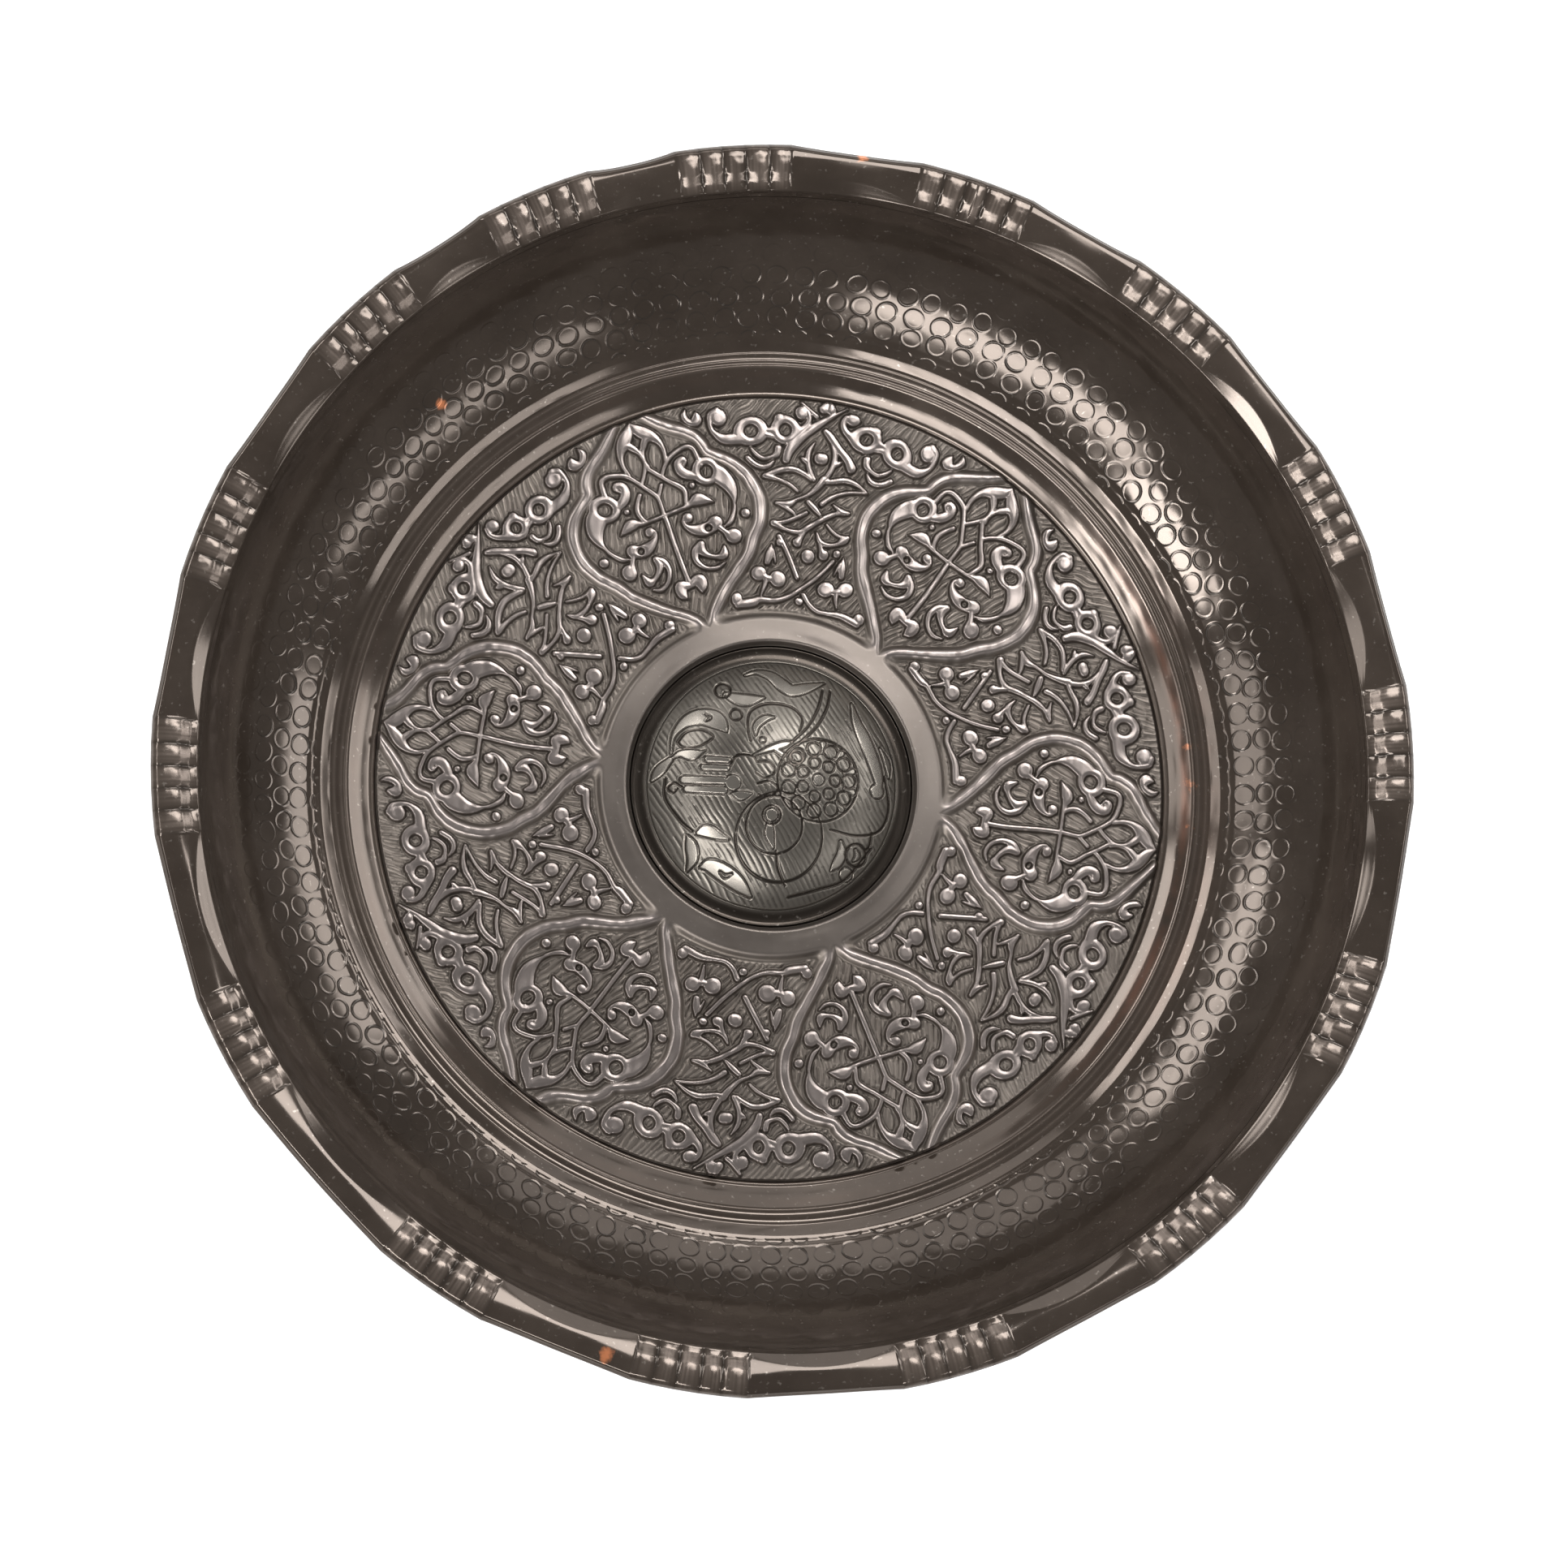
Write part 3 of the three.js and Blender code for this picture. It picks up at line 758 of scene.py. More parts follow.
def bowl_surface():
    wall = resample([*SHOULDER, *wall_points(np.linspace(WALL_JOIN, WALL_STOP, 200))], 0.06)
    along = path_length(wall)
    fine_end = np.interp(PUNCH_ROWS[-1][0] + 2.2, wall[:, 0], along)
    fine = np.arange(0, fine_end, BOWL_ROW_STEP)
    arc = np.concatenate([fine, np.linspace(fine_end, along[-1], BOWL_UPPER_ROWS)])
    q = along_path(arc, along, wall)
    normal = along_path(arc, along, profile_normals(wall))
    push, groove = punched(q[:, 0], arc, full_circle(BOWL_COLUMNS))
    clear = smooth((q[:, :1] - PUNCH_START) / 0.6)
    push = push * clear + BEATEN_DEPTH * beaten(q, BOWL_COLUMNS) * smooth(arc / 0.5)[:, None]
    p = wall_piece_points(q, BOWL_COLUMNS, normal, push)
    return p, dish_marks(p, 0, 0.8 * groove * clear)


# Places where the patina has gone to bare copper: azimuth, radius, spread, strength.
WEAR = [
    (6, 101.7, 2.0, 0.45),
    (1, 101.8, 2.0, 0.5),
    (-5, 101.7, 1.8, 0.4),
    (132, 120.5, 1.4, 1.0),
    (253, 146.5, 2.0, 0.8),
    (83, 148.5, 1.6, 0.9),
]


def blush(x, y):
    """Reddish brown where the patina is thin: along the moulding, mostly on its +X side."""
    r = np.hypot(x, y)
    a = np.arctan2(y, x)
    side = 0.05 + 0.95 * smooth(3 * np.cos(a + 0.05) - 2)
    lines = 0.9 * hill(r - 100.4, 1.0) + 0.12 * hill(r - 106, 3.0)
    return np.clip(side * lines, 0, 1)


def wear_patches(x, y):
    total = np.zeros(np.broadcast(x, y).shape)
    for azimuth, radius, spread, strength in WEAR:
        a = math.radians(azimuth)
        d2 = (x - radius * math.cos(a)) ** 2 + (y - radius * math.sin(a)) ** 2
        total = np.maximum(total, strength * np.exp(-d2 / spread**2))
    return total


# ---------------------------------------------------------------- rim

RIM_COLUMNS = 600 * LEAVES
FLUTE_GROUPS = [3, 26.5, 50, 72, 95, 114, 134, 158, 182, 208, 236, 261, 286, 311, 337]
FLUTES = 5
FLUTE_PITCH = 2.15
HALF_GROUP = FLUTES * FLUTE_PITCH / 2
BEAD = (148.2, 35.4)
BEAD_RADIUS = 2.0
BEAD_INNER = 1.2
BEAD_POINTS = (14, 12)  # round the bead's outside, then round its inside
LIP_INSET = 1.15  # how far the edge draws in between the groups of flutes
# The lip's back, from the bead down to the wall.
LIP_BACK = [(144.9, 36.1), (142.6, 35.0), (141.0, 34.2), (140.2, 33.9)]
RIM_REFINE = 4


def bead_arc(centre, radius, start, end, count):
    a = np.radians(np.linspace(start, end, count))
    return [(centre[0] + radius * np.cos(t), centre[1] + radius * np.sin(t)) for t in a]


# Three sections of the rim, point for point: through a flute, at a group's end, and halfway
# between two groups, where the lip widens to a sloping lens.
WALL_END = [tuple(point) for point in wall_points([WALL_STOP, 0.97, 0.99])]
FLUTE_SECTION = [
    *WALL_END, (138.95, 34.5), (139.35, 34.9), (140.0, 35.05), (140.9, 35.25), (141.6, 35.6),
    (142.5, 36.15), (143.6, 36.8), (145.0, 37.2), (146.4, 37.35), (147.7, 37.4), (148.9, 37.15),
    (149.85, 36.3),
]
END_SECTION = [
    WALL_END[0], (138.8, 33.9), (139.05, 34.45), (139.3, 34.7), (139.45, 34.77), (139.6, 34.84),
    (139.75, 34.9), (139.9, 34.96), (141.0, 35.45), (142.4, 36.0), (144.2, 36.6), (146.0, 37.0),
    (147.5, 37.12), (149.0, 36.9), (149.8, 36.1),
]
SPAN_SECTION = [
    WALL_END[0], (138.75, 33.6), (139.0, 34.1), (139.3, 34.4), (140.1, 34.89), (140.9, 35.38),
    (141.7, 35.86), (142.4, 36.28), (143.0, 36.56), (143.8, 36.78), (145.0, 36.95), (146.4, 37.02),
    (147.4, 37.0), (148.2, 36.7), (148.75, 35.9),
]
# How much of the flutes each point of the section takes.
FLUTE_SHARE = [0, 0, 0, 0.2, 0.3, 0.45, 0.75, 1, 1, 0.92, 0.8, 0.7, 0.6, 0.5, 0.35]
# How much each point follows the edge's even inset rather than the lens-shaped lip.
EDGE_SHARE = [0, 0, 0, 0, 0, 0, 0, 0.1, 0.2, 0.35, 0.55, 0.75, 0.9, 1, 1]


def rim_sections(degrees):
    """For each angle: place in the flute, the edge's inset share and the lip's lens share."""
    centres = np.array(FLUTE_GROUPS, float)
    gap = (degrees[:, None] - centres[None, :] + 180) % 360 - 180
    nearest = np.abs(gap).argmin(1)
    from_centre = gap[np.arange(len(degrees)), nearest]
    inside = HALF_GROUP - np.abs(from_centre)
    uneven = 0.16 * waves(43, 5, 2, 6)(degrees, 0 * degrees) * smooth(inside / 1.5)
    flute_place = ((from_centre + uneven + HALF_GROUP) / FLUTE_PITCH) % 1 - 0.5
    following = np.roll(centres, -1)
    following[-1] += 360
    half_spans = (following - centres) / 2 - HALF_GROUP
    before = np.where(from_centre > 0, nearest, (nearest - 1) % len(centres))
    outside = np.clip(np.clip(-inside, 0, None) / half_spans[before], 0, 1)
    lens = np.sin(outside * np.pi / 2)
    edge = 1 - (1 - outside) ** 2.2
    active = smooth((inside + 0.15) / 0.3)
    return from_centre, inside, flute_place, active, edge, lens


def flute_variety(degrees, from_centre):
    """How much higher or lower each flute is: no two strokes of the tool are alike."""
    group = (degrees // 24).astype(int)
    number = np.floor((from_centre + HALF_GROUP) / FLUTE_PITCH).astype(int)
    return np.random.default_rng(5).uniform(-0.25, 0.2, DICE)[(group * 31 + number * 7) % DICE]


def flute_profile(place, variety):
    """Height across one flute: a rounded rib between two sharp creases."""
    rib = np.cos(np.pi * place) ** 0.65
    crease = hill((0.5 - np.abs(place)) * FLUTE_PITCH, 0.08)
    return (0.72 + variety) * rib - 0.45 - 0.1 * crease


def refine(section):
    """More points between a section's points, on a smooth curve through them."""
    p = np.asarray(section, float)
    padded = with_ends(p)
    t = np.linspace(0, 1, RIM_REFINE, endpoint=False)[:, None]
    made = [catmull_rom(*padded[i - 1 : i + 3], t) for i in range(1, len(padded) - 2)]
    return np.vstack([*made, p[-1:]])


def curl_points():
    """The bead and the lip's back, from the rim's outer edge to the wall's outer face."""
    outer = bead_arc(BEAD, BEAD_RADIUS, 8, -125, BEAD_POINTS[0])
    inner = bead_arc(BEAD, BEAD_INNER, -125, 150, BEAD_POINTS[1])
    return np.array([*outer, *inner, *LIP_BACK, *wall_points([0.97], WALL_SHEET)])


def rim_rows():
    """The three sections, each with the curl behind it, and every row's share of the flutes and
    of the edge's inset."""
    curl = curl_points()
    drawn_in = curl.copy()
    turns = [0, sum(BEAD_POINTS), len(curl) - 1]
    drawn_in[:, 0] -= LIP_INSET * np.interp(np.arange(len(curl)), turns, [1, 0.9, 0])
    fronts = [refine(section) for section in (FLUTE_SECTION, END_SECTION, SPAN_SECTION)]
    flute, end, span = (np.vstack(pair) for pair in zip(fronts, (curl, curl, drawn_in)))
    index = np.linspace(0, len(FLUTE_SHARE) - 1, len(fronts[0]))
    points = np.arange(len(FLUTE_SHARE))
    share = np.concatenate([np.interp(index, points, FLUTE_SHARE), np.zeros(len(curl))])
    edge_share = np.concatenate([np.interp(index, points, EDGE_SHARE), np.ones(len(curl))])
    return flute, end, span, share[:, None], edge_share[:, None]


def rim_surface():
    """The rim's grid of points and marks, and the centre line of its bead with that line's angles."""
    degrees = full_circle(RIM_COLUMNS)
    from_centre, inside, place, active, edge, lens = rim_sections(degrees)
    flute, end, span, share, edge_share = rim_rows()
    weight = edge_share * edge + (1 - edge_share) * lens
    plain = end[:, None] + (span - end)[:, None] * weight[:, :, None]
    section = plain + (flute[:, None] - plain) * active[None, :, None]
    r, z = section[:, :, 0], section[:, :, 1]

    pads = flute_profile(place, flute_variety(degrees, from_centre)) * smooth((inside + 0.15) / 0.7)
    rough = 0.012 * waves(41, 8, 1.2, 3.0)(degrees * 2.55 + 0 * r, r)
    push = pads * share + rough * (share > 0.25) * active
    normal = profile_normals(flute)
    r = r + normal[:, :1] * push * 0.8 + wobble(degrees)
    z = z + normal[:, 1:] * push
    a = np.radians(degrees)
    z = z + (0.16 * np.sin(2 * a + 1.0) + 0.1 * np.sin(3 * a)) * smooth((z - 27) / 6)

    streaks = 0.75 + 0.25 * waves(45, 8, 0.15, 0.5)(degrees, 0 * degrees)
    rub = np.clip(share**1.6 * active * smooth((pads + 0.3) / 0.5) * streaks, 0, 0.8)
    crease = hill((0.5 - np.abs(place)) * FLUTE_PITCH, 0.12) * active
    dirt = np.clip(0.7 * share * crease, 0, 1)
    x, y = r * np.cos(a), r * np.sin(a)
    marks = {"rub": rub, "dirt": dirt, "wear": wear_patches(x, y), "blush": 0 * rub}
    centre = np.stack([BEAD[0] - LIP_INSET * edge + wobble(degrees), BEAD[1] + 0 * edge], -1)
    return np.stack([x, y, z], -1), marks, centre, degrees


# ---------------------------------------------------------------- underside

UNDER_COLUMNS = 1200
SHOW_THROUGH = 0.8  # how much of a punched mark's depth shows outside
FOOT = [(105.5, 3.75), (102.6, 3.1), (100.6, 1.5), (98.6, 0.3), (96.2, 0.0)]


def underside_surface():
    """The wall's outer face, the foot and the base, with the punched marks showing through."""
    wall = [tuple(point) for point in wall_points(np.linspace(0.97, 0, 60), WALL_SHEET)]
    base = [(r, 0.0) for r in np.linspace(95.5, 0.0, 22)]
    q = np.vstack([resample(wall + FOOT, 0.7), base])
    top = wall_points(np.linspace(0, WALL_STOP, 300))
    push, _ = punched(top[:, 0], path_length(top), full_circle(UNDER_COLUMNS))
    rows = np.interp(q[:, 0], top[:, 0], np.arange(len(top)))
    on_wall = (q[:, :1] > 109) & (q[:, 1:] > 3)
    through = push[np.round(rows).astype(int)] * on_wall
    p = wall_piece_points(q, UNDER_COLUMNS, profile_normals(q), -SHOW_THROUGH * through)
    zero = np.zeros(p.shape[:2])
    return p, {"rub": zero, "dirt": zero, "wear": zero, "blush": zero}


# ---------------------------------------------------------------- boss

DOME_RADIUS = 30.4
DOME_SPHERE = 47.0
DOME_FOOT_TOP = 2.1
DOME_CELLS = 315
DOME_HATCH = (-58, 1.25)


def dome_height(rho):
    centre = DOME_FOOT_TOP - math.sqrt(DOME_SPHERE**2 - DOME_RADIUS**2)
    return centre + np.sqrt(np.maximum(DOME_SPHERE**2 - rho**2, 0))


class Disc(Drawing):
    """The boss's plan, on a square grid."""

    STEP = 0.1

    def __init__(self):
        self.line = np.arange(-31, 31 + self.STEP, self.STEP)
        x, y = np.meshgrid(self.line, self.line, indexing="ij")
        super().__init__(x, y)
        self.leaf = np.full(x.shape, self.UNTOUCHED)

    def windows(self, a, b):
        reach = self.REACH + max(a[2], b[2]) / 2
        spans = []
        for k in (0, 1):
            low = np.searchsorted(self.line, min(a[k], b[k]) - reach)
            high = np.searchsorted(self.line, max(a[k], b[k]) + reach)
            if low >= high:
                return
            spans.append(slice(low, high))
        yield tuple(spans)

    def sample(self, field, x, y):
        return bilinear(field, (x - self.line[0]) / self.STEP, (y - self.line[0]) / self.STEP)


LEAF_WIDEN = 1.3

# Smooth leaves and petals on the boss, as fat strokes (x, y, width), left plain in the hatching.
BOSS_LEAVES = [
    [(-24.6, 6.9, 0.4), (-23.9, 11.4, 1.0), (-21.0, 14.8, 2.2), (-17.6, 15.9, 3.2), (-14.5, 15.2, 3.6),
     (-12.6, 13.4, 2.0), (-11.7, 11.9, 0.4)],
    [(-24.5, 5.9, 0.4), (-22.4, 6.8, 1.4), (-20, 6.4, 2.2), (-17.9, 6.8, 1.0), (-16.6, 7.4, 0.3)],
    [(-24.8, 5.5, 1.2), (-27.2, 3.1, 2.0), (-29, 0.7, 0.6)],
    [(-16.2, 5.2, 1.3), (-11.4, 4.8, 1.1)],
    [(-17.2, 3.2, 1.2), (-11.7, 2.8, 1.1)],
    [(-21.7, 0.4, 1.6), (-12.6, -0.2, 1.4)],
    [(-21, -1.9, 1.4), (-12.4, -2.6, 1.4)],
    [(-10.3, -0.7, 3.0)],
    [(-10.4, -3.4, 0.5), (-8.3, -3.9, 1.8), (-5.9, -3.4, 0.4)],
    [(-5.2, 5.9, 0.5), (-1.7, 7.4, 1.2), (1.8, 8.6, 1.4), (3.8, 9.3, 0.5)],
    [(-0.6, 7.6, 0.8), (1.6, 6.2, 1.0), (2.6, 4.4, 0.5)],
    [(-4.8, 11.0, 0.4), (-4.5, 13.4, 1.4), (-2.4, 15.2, 1.4), (-0.3, 15.5, 0.4)],
    [(-3.2, 9.7, 1.2)],
    [(-11.4, 21.5, 1.2), (-7.2, 19.9, 2.6), (-2.4, 20.6, 0.5)],
    [(-6.6, 26.6, 0.5), (-3.8, 27.4, 1.0), (-0.3, 26.3, 2.0), (2.4, 23.8, 2.6), (4.5, 22.6, 2.4),
     (7.9, 23.4, 2.0), (12.6, 25.0, 0.5)],
    [(-20.7, -13.0, 0.6), (-19.7, -15.5, 2.2), (-19.3, -18.3, 2.0), (-20.3, -21.0, 0.5)],
    [(-18.3, -12.4, 1.0), (-16.2, -12.0, 2.4), (-13.4, -13.2, 1.6), (-11, -14.1, 0.4)],
    [(-17.2, -20.3, 0.8), (-15.2, -20.0, 2.4), (-12.1, -21.6, 3.2), (-8.6, -24.1, 2.8), (-5.2, -27.2, 0.6)],
    [(16.2, -14.1, 0.8), (16.6, -16.6, 1.8), (15.5, -19.0, 1.8), (14.1, -20.7, 0.5)],
    [(17.9, -21.4, 2.6)],
    [(20, -15.6, 0.5), (20.6, -17, 1.2), (19.6, -18.2, 0.5)],
    [(19.3, 20, 0.6), (20.3, 15.5, 1.8), (22.4, 10.7, 2.6), (25.2, 3.1, 2.4), (25.9, -1.7, 0.8)],
    [(25.2, -1.4, 2.8)],
    [(26.2, 9.3, 0.5), (27.9, 5.9, 1.4), (28.3, 2.4, 0.6)],
    [(-1.0, -8.4, 2.4)],
    [(-1.5, -10.6, 1.2), (-1.4, -13.0, 1.8), (-0.5, -16, 0.6)],
]
BOSS_HOLES = [
    [(-12.8, -21.5, 0.3), (-11.4, -22.6, 0.9), (-10.0, -22.0, 0.3)],
    [(-16.4, 16.6, 0.3), (-15.4, 15.6, 0.8), (-16.2, 14.8, 0.3)],
]
# Engraved single lines.
BOSS_LINES = [
    [(-23.1, 9.7, 0.5), (-21, 12.1, 0.5), (-17.6, 12.6, 0.5), (-14.8, 10.7, 0.5), (-17.6, 8.7, 0.5),
     (-21.7, 8.3, 0.5), (-23.1, 9.7, 0.5)],
    [(-11, 3.1, 0.5), (-9.3, 5.9, 0.6), (-5.9, 5.9, 0.5), (-4.5, 4.5, 0.4)],
    [(-6.0, 9.6, 0.5), (-6.6, 12.8, 0.5), (-5.9, 16.9, 0.6), (-1.7, 19, 0.6), (3.8, 18.3, 0.5),
     (6.6, 15.5, 0.5), (5.9, 12.1, 0.4)],
    [(3.8, 9.3, 0.5), (7.9, 13.4, 0.5), (10.7, 18.3, 0.6), (12.1, 23.1, 0.5)],
    [(5.2, 8.6, 0.5), (10, 13.4, 0.6), (12.8, 18.3, 0.6), (14.0, 23, 0.5)],
    [(0.3, -16.9, 0.5), (1, -21, 0.8), (2.8, -24.6, 0.6)],
    [(27.2, 2.4, 0.5), (28.3, -5.2, 0.5), (25.9, -10.7, 0.5), (20, -12.4, 0.5), (13.4, -11.4, 0.4)],
    [(3.8, -27.2, 0.5), (11, -25.2, 0.5), (17.6, -22.6, 0.5), (24, -15, 0.5)],
    [(-25.9, 1, 0.5), (-25.9, -3.8, 0.5), (-22.4, -9.3, 0.6), (-19.6, -12, 0.5)],
    [(-22.0, -1.4, 0.5), (-24, -0.2, 0.5), (-25.4, -1.4, 0.5), (-24.2, -2.6, 0.5), (-23.2, -1.6, 0.4)],
    [(-4.6, 4.4, 0.5), (-1.4, 4.2, 0.5), (-0.4, 1.8, 0.5), (-2.6, 0.4, 0.5), (-4.8, 1.6, 0.5)],
    [(-4.6, -1.0, 0.5), (-1.6, -0.4, 0.5), (0.4, -2.0, 0.5), (-1.2, -4.0, 0.5), (-4.2, -3.6, 0.5)],
    [(24, -11.4, 0.4), (23.6, -14.4, 0.6), (22.4, -15.6, 0.5)],
]
ROSETTE = (10.3, 0.3)
ROSETTE_RADIUS = 10.0
WEB = [(6.6, 0.5), (9.0, 1.6)]  # distance out and width, between the outer petals
ROSETTE_PETALS = [(11, 7.6, 1.7), (7, 4.2, 1.4)]  # count, distance out, petal radius
BUD_RINGS = [((1.0, -13.4), 10.5), ((-0.3, -10.7), 6.8), ((-1.0, -8.4), 2.2), ((20.2, -16.9), 2.6)]
SCROLL_RINGS = [((-12.1, 22.6), 1.8), ((-9.3, 16.2), 1.4), ((4.8, 5.4), 1.6)]


def ring_points(centre, radius, width, count=25):
    a = np.linspace(0, 2 * np.pi, count)
    return [(centre[0] + radius * np.cos(t), centre[1] + radius * np.sin(t), width) for t in a]


def from_rosette(out, turn):
    """A point at a distance from the rosette's centre, on a bearing in radians."""
    return ROSETTE[0] + out * math.cos(turn), ROSETTE[1] + out * math.sin(turn)


def draw_boss():
    disc = Disc()
    for points in BOSS_LEAVES:
        disc.add([(x, y, width * LEAF_WIDEN) for x, y, width in points], "leaf")
    for points in BOSS_HOLES:
        disc.add(points, "leaf", cut=True)
    for count, out, petal in ROSETTE_PETALS:
        for k in range(count):
            disc.add(ring_points(from_rosette(out, 2 * math.pi * k / count), petal, 0.45, count=11))
    for k in range(-2, 3):
        turn = 2 * math.pi * (k + 0.5) / ROSETTE_PETALS[0][0]
        disc.add([(*from_rosette(out, turn), width) for out, width in WEB], "leaf")
    disc.add([(*ROSETTE, 3.0)], "leaf")
    for points in BOSS_LINES:
        disc.add(points)
    for centre, radius in BUD_RINGS + SCROLL_RINGS:
        disc.add(ring_points(centre, radius, 0.5))
    disc.add(ring_points((0, 0), DOME_RADIUS - 0.1, 0.5, count=73))
    disc.add(ring_points(ROSETTE, ROSETTE_RADIUS, 0.5))
    return disc


def disc_grid():
    """A square grid bent into a disc, without a pole in the middle."""
    s = np.linspace(-1, 1, DOME_CELLS)
    u, v = np.meshgrid(s, s, indexing="ij")
    big = np.abs(u) > np.abs(v)
    with np.errstate(divide="ignore", invalid="ignore"):
        turn = np.nan_to_num(np.where(big, np.pi / 4 * v / u, np.pi / 2 - np.pi / 4 * u / v))
    radius = DOME_RADIUS * np.where(big, u, v)
    return radius * np.cos(turn), radius * np.sin(turn)


def dome_surface():
    disc = draw_boss()
    x, y = disc_grid()
    rho = np.hypot(x, y)
    leaf = disc.sample(disc.leaf, x, y)
    line = disc.sample(disc.stroke, x, y)
    edge = np.minimum(np.abs(leaf) - 0.12, line)
    cut = smooth((0.22 - edge) / 0.3) * smooth((DOME_RADIUS - rho) / 0.3)
    open_ground = smooth((leaf - 0.3) / 0.3) * smooth((DOME_RADIUS - 0.5 - rho) / 0.4)
    lines = hatch(x, y, *DOME_HATCH, 51, 0.08) * open_ground * smooth((line - 0.1) / 0.3)
    sunk = 0.08 * smooth((leaf - 0.2) / 0.4)
    z = dome_height(rho) - 0.24 * cut - 0.1 * lines - sunk + 0.05 * waves(61, 6, 10, 30)(x, y)
    rub = smooth((0.05 - leaf) / 0.3) * 0.6 + 0.35
    dirt = np.clip(cut + 0.6 * lines, 0, 1)
    return np.stack([x, y, z], -1), {"rub": rub, "dirt": dirt}


def boss_foot_surface():
    section = [
        (DOME_RADIUS, DOME_FOOT_TOP),
        (31.0, 1.85),
        (32.0, 1.66),
        (33.3, 1.7),
        (BOSS_FOOT, 2.05),
        (BOSS_FOOT + 0.25, 1.5),
        (BOSS_FOOT + 0.25, PLATE_UNDER),
    ]
    q = resample(section, 0.35)
    q[0] = section[0]
    a = np.radians(full_circle(720))[None, :]
    r = q[:, :1]
    p = np.stack([r * np.cos(a), r * np.sin(a), q[:, 1:] + 0 * a], -1)
    dirt = np.clip(0.7 + 0.3 * smooth(r - DOME_RADIUS) + 0 * a, 0, 1)
    return p, {"rub": 0 * dirt, "dirt": dirt}


# ---------------------------------------------------------------- materials


RANGE = ("Value", "From Min", "From Max", "To Min", "To Max")


class Recipe:
    """A material's nodes, with short ways to make and join them."""

    def __init__(self, name):
        self.material = bpy.data.materials.new(name)
        self.material.use_nodes = True
        self.tree = self.material.node_tree
        self.shader = self.tree.nodes["Principled BSDF"]

    def plug(self, value, socket):
        """Sets a socket to a number or a colour, or joins it to an output."""
        if isinstance(value, tuple):
            socket.default_value = (*value, 1)
        elif isinstance(value, (int, float)):
            socket.default_value = value
        else:
            self.tree.links.new(value, socket)

    def node(self, kind, **inputs):
        """A new node with values plugged into its inputs, whose names are written with _ for space."""
        made = self.tree.nodes.new(kind)
        self.fill(made, **inputs)
        return made

    def fill(self, node, **inputs):
        for name, value in inputs.items():
            self.plug(value, node.inputs[name.replace("_", " ")])

    def mix(self, factor, a, b):
        node = self.node("ShaderNodeMix", Factor=factor)
        node.data_type = "RGBA"
        for value, name in ((a, "A"), (b, "B")):
            self.plug(value, next(s for s in node.inputs if s.name == name and s.type == "RGBA"))
        return next(s for s in node.outputs if s.type == "RGBA")

    def maths(self, operation, a, b, clamp=False):
        node = self.node("ShaderNodeMath")
        node.operation = operation
        node.use_clamp = clamp
        self.plug(a, node.inputs[0])
        self.plug(b, node.inputs[1])
        return node.outputs[0]

    def ramp(self, value, low, high, to_low=0.0, to_high=1.0):
        node = self.node("ShaderNodeMapRange")
        for name, number in zip(RANGE, (value, low, high, to_low, to_high)):
            self.plug(number, node.inputs[name])
        return node.outputs[0]

    def noise(self, scale, detail=4, roughness=0.6):
        place = self.node("ShaderNodeTexCoord").outputs["Object"]
        node = self.node("ShaderNodeTexNoise", Vector=place, Scale=scale, Detail=detail, Roughness=roughness)
        return node.outputs["Fac"]

    def attribute(self, name):
        node = self.node("ShaderNodeAttribute")
        node.attribute_name = name
        return node.outputs["Fac"]


def with_copper(recipe, colour, cloud, fine):
    """The colour with a reddish blush and spots of bare copper over it."""
    red = recipe.maths("MULTIPLY", recipe.attribute("blush"), recipe.ramp(cloud, 0.35, 0.6))
    colour = recipe.mix(red, colour, (0.12, 0.055, 0.035))
    wear = recipe.attribute("wear")
    patchy = recipe.maths("ADD", wear, recipe.ramp(fine, 0.3, 0.7, -0.3, 0.3))
    worn = recipe.maths("MULTIPLY", recipe.ramp(patchy, 0.35, 0.85), recipe.ramp(wear, 0.02, 0.2))
    return recipe.mix(worn, colour, (0.55, 0.2, 0.09))


def patina(
    name, dark, mid, bright, grime, rough_dark, rough_bright, metal, rough_grime=0.12, bump=0.05, copper=True
):
    """Oxidised copper: colours by how rubbed the metal is, grime in hollows, bare copper in worn
    places, and a soft unevenness of gloss."""
    recipe = Recipe(name)
    rub, dirt = recipe.attribute("rub"), recipe.attribute("dirt")
    cloud = recipe.noise(38, 5, 0.65)
    fine = recipe.noise(420, 3)
    fleck = recipe.noise(900, 2, 0.5)
    polished = recipe.maths("MULTIPLY", rub, recipe.ramp(fine, 0.2, 0.75, 0.65, 1.0))
    colour = recipe.mix(recipe.ramp(cloud, 0.35, 0.68), dark, mid)
    colour = recipe.mix(polished, colour, bright)
    colour = recipe.mix(recipe.maths("MULTIPLY", dirt, 0.9), colour, grime)
    if copper:
        colour = with_copper(recipe, colour, cloud, fine)
    dust = recipe.maths("MULTIPLY", recipe.ramp(fleck, 0.66, 0.76), 0.2)
    colour = recipe.mix(dust, colour, (0.5, 0.45, 0.4))
    gloss = recipe.ramp(polished, 0, 1, rough_dark, rough_bright)
    gloss = recipe.maths("ADD", gloss, recipe.ramp(cloud, 0.3, 0.7, -0.02, 0.05))
    gloss = recipe.maths("ADD", gloss, recipe.maths("MULTIPLY", dirt, rough_grime), clamp=True)
    grain = recipe.node("ShaderNodeBump", Strength=bump, Distance=0.0001, Height=recipe.noise(700, 3))
    recipe.fill(recipe.shader, Base_Color=colour, Metallic=metal, Roughness=gloss, Normal=grain.outputs[0])
    return recipe.material


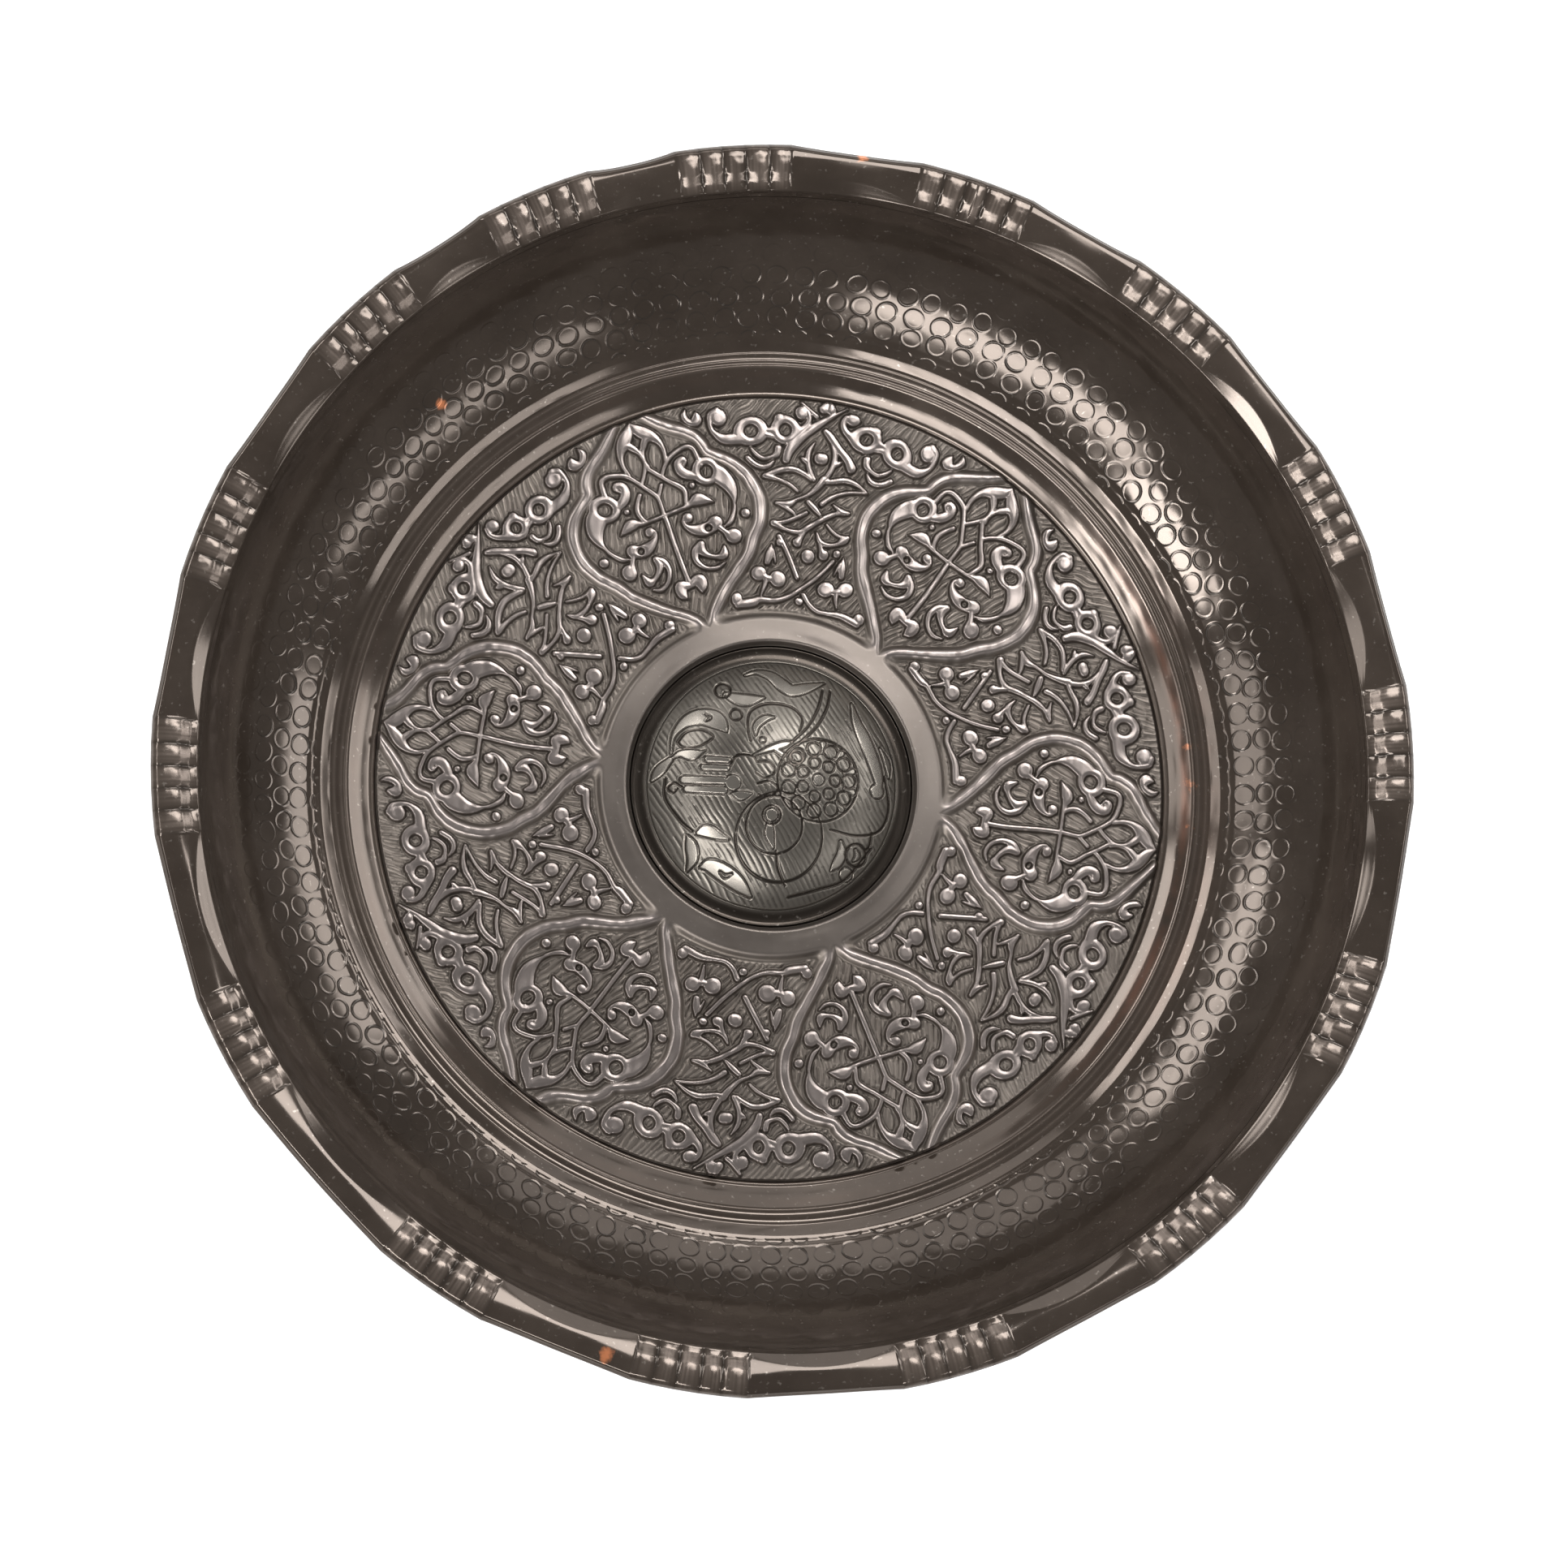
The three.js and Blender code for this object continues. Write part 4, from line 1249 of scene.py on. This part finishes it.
dish_material = patina(
    "dish_patina",
    dark=(0.048, 0.036, 0.028),
    mid=(0.07, 0.054, 0.043),
    bright=(0.2, 0.16, 0.135),
    grime=(0.03, 0.025, 0.021),
    rough_dark=0.1,
    rough_bright=0.35,
    metal=0.55,
    bump=0.012,
)
plate_material = patina(
    "plate_patina",
    dark=(0.125, 0.106, 0.091),
    mid=(0.17, 0.147, 0.128),
    bright=(0.25, 0.216, 0.201),
    grime=(0.04, 0.033, 0.028),
    rough_dark=0.4,
    rough_bright=0.28,
    metal=0.93,
    copper=False,
)
boss_material = patina(
    "boss_patina",
    dark=(0.095, 0.084, 0.071),
    mid=(0.13, 0.117, 0.1),
    bright=(0.22, 0.2, 0.175),
    grime=(0.022, 0.016, 0.012),
    rough_dark=0.32,
    rough_bright=0.22,
    rough_grime=-0.1,
    metal=0.8,
    copper=False,
)


def wire_material():
    recipe = Recipe("rim_wire")
    stain = recipe.ramp(recipe.noise(120), 0.35, 0.7)
    colour = recipe.mix(stain, (0.34, 0.16, 0.09), (0.16, 0.09, 0.06))
    recipe.fill(recipe.shader, Base_Color=colour, Metallic=1.0, Roughness=0.42)
    return recipe.material


def floor_material():
    recipe = Recipe("studio_floor")
    recipe.fill(recipe.shader, Base_Color=(0.86, 0.86, 0.86), Roughness=0.8)
    recipe.fill(recipe.shader, Emission_Color=(1.0, 1.0, 1.0), Emission_Strength=0.45)
    return recipe.material


# ---------------------------------------------------------------- pieces


WIRE_RADIUS = 0.9


def make_floor():
    mesh = bpy.data.meshes.new("studio_floor")
    half = 6.0
    corners = [(-half, -half, 0), (half, -half, 0), (half, half, 0), (-half, half, 0)]
    mesh.from_pydata(corners, [], [(0, 1, 2, 3)])
    mesh.materials.append(floor_material())
    floor = bpy.data.objects.new("studio_floor", mesh)
    floor.location.z = -0.0002
    scene.collection.objects.link(floor)


def make_wire(centre, degrees):
    """The wire inside the rolled edge, along the bead's own centre line."""
    keep = slice(None, None, 3)
    r, z, a = centre[keep, 0], centre[keep, 1], np.radians(degrees[keep])
    turn = np.radians(np.arange(0, 360, 30))[:, None]
    ring = r + WIRE_RADIUS * np.cos(turn)
    p = np.stack([ring * np.cos(a), ring * np.sin(a), z + WIRE_RADIUS * np.sin(turn)], -1)
    p = np.concatenate([p, p[:1]])[::-1]
    ring_piece("edge_wire", p, (wire_material(), "rim_wire", "rim_wire"), {})


def build():
    dish = (dish_material, "dish_shell", "dish_patina")
    plate = (plate_material, "embossed_plate", "plate_patina")
    boss = (boss_material, "centre_boss", "boss_patina")
    p, marks = floor_surface()
    sector_pieces("plate", p, plate, marks)
    p, marks = bowl_surface()
    sector_pieces("bowl", p, dish, marks)
    p, marks = moulding_surface()
    ring_piece("moulding", p, dish, marks)
    p, marks, centre, degrees = rim_surface()
    sector_pieces("rim", p, dish, marks)
    p, marks = underside_surface()
    ring_piece("underside", p, dish, marks)
    p, marks = dome_surface()
    grid_piece("boss_dome", p, grid_normals(p, around=False), boss, marks)
    p, marks = boss_foot_surface()
    ring_piece("boss_foot", p, boss, marks)
    make_wire(centre, degrees)
    make_floor()


build()
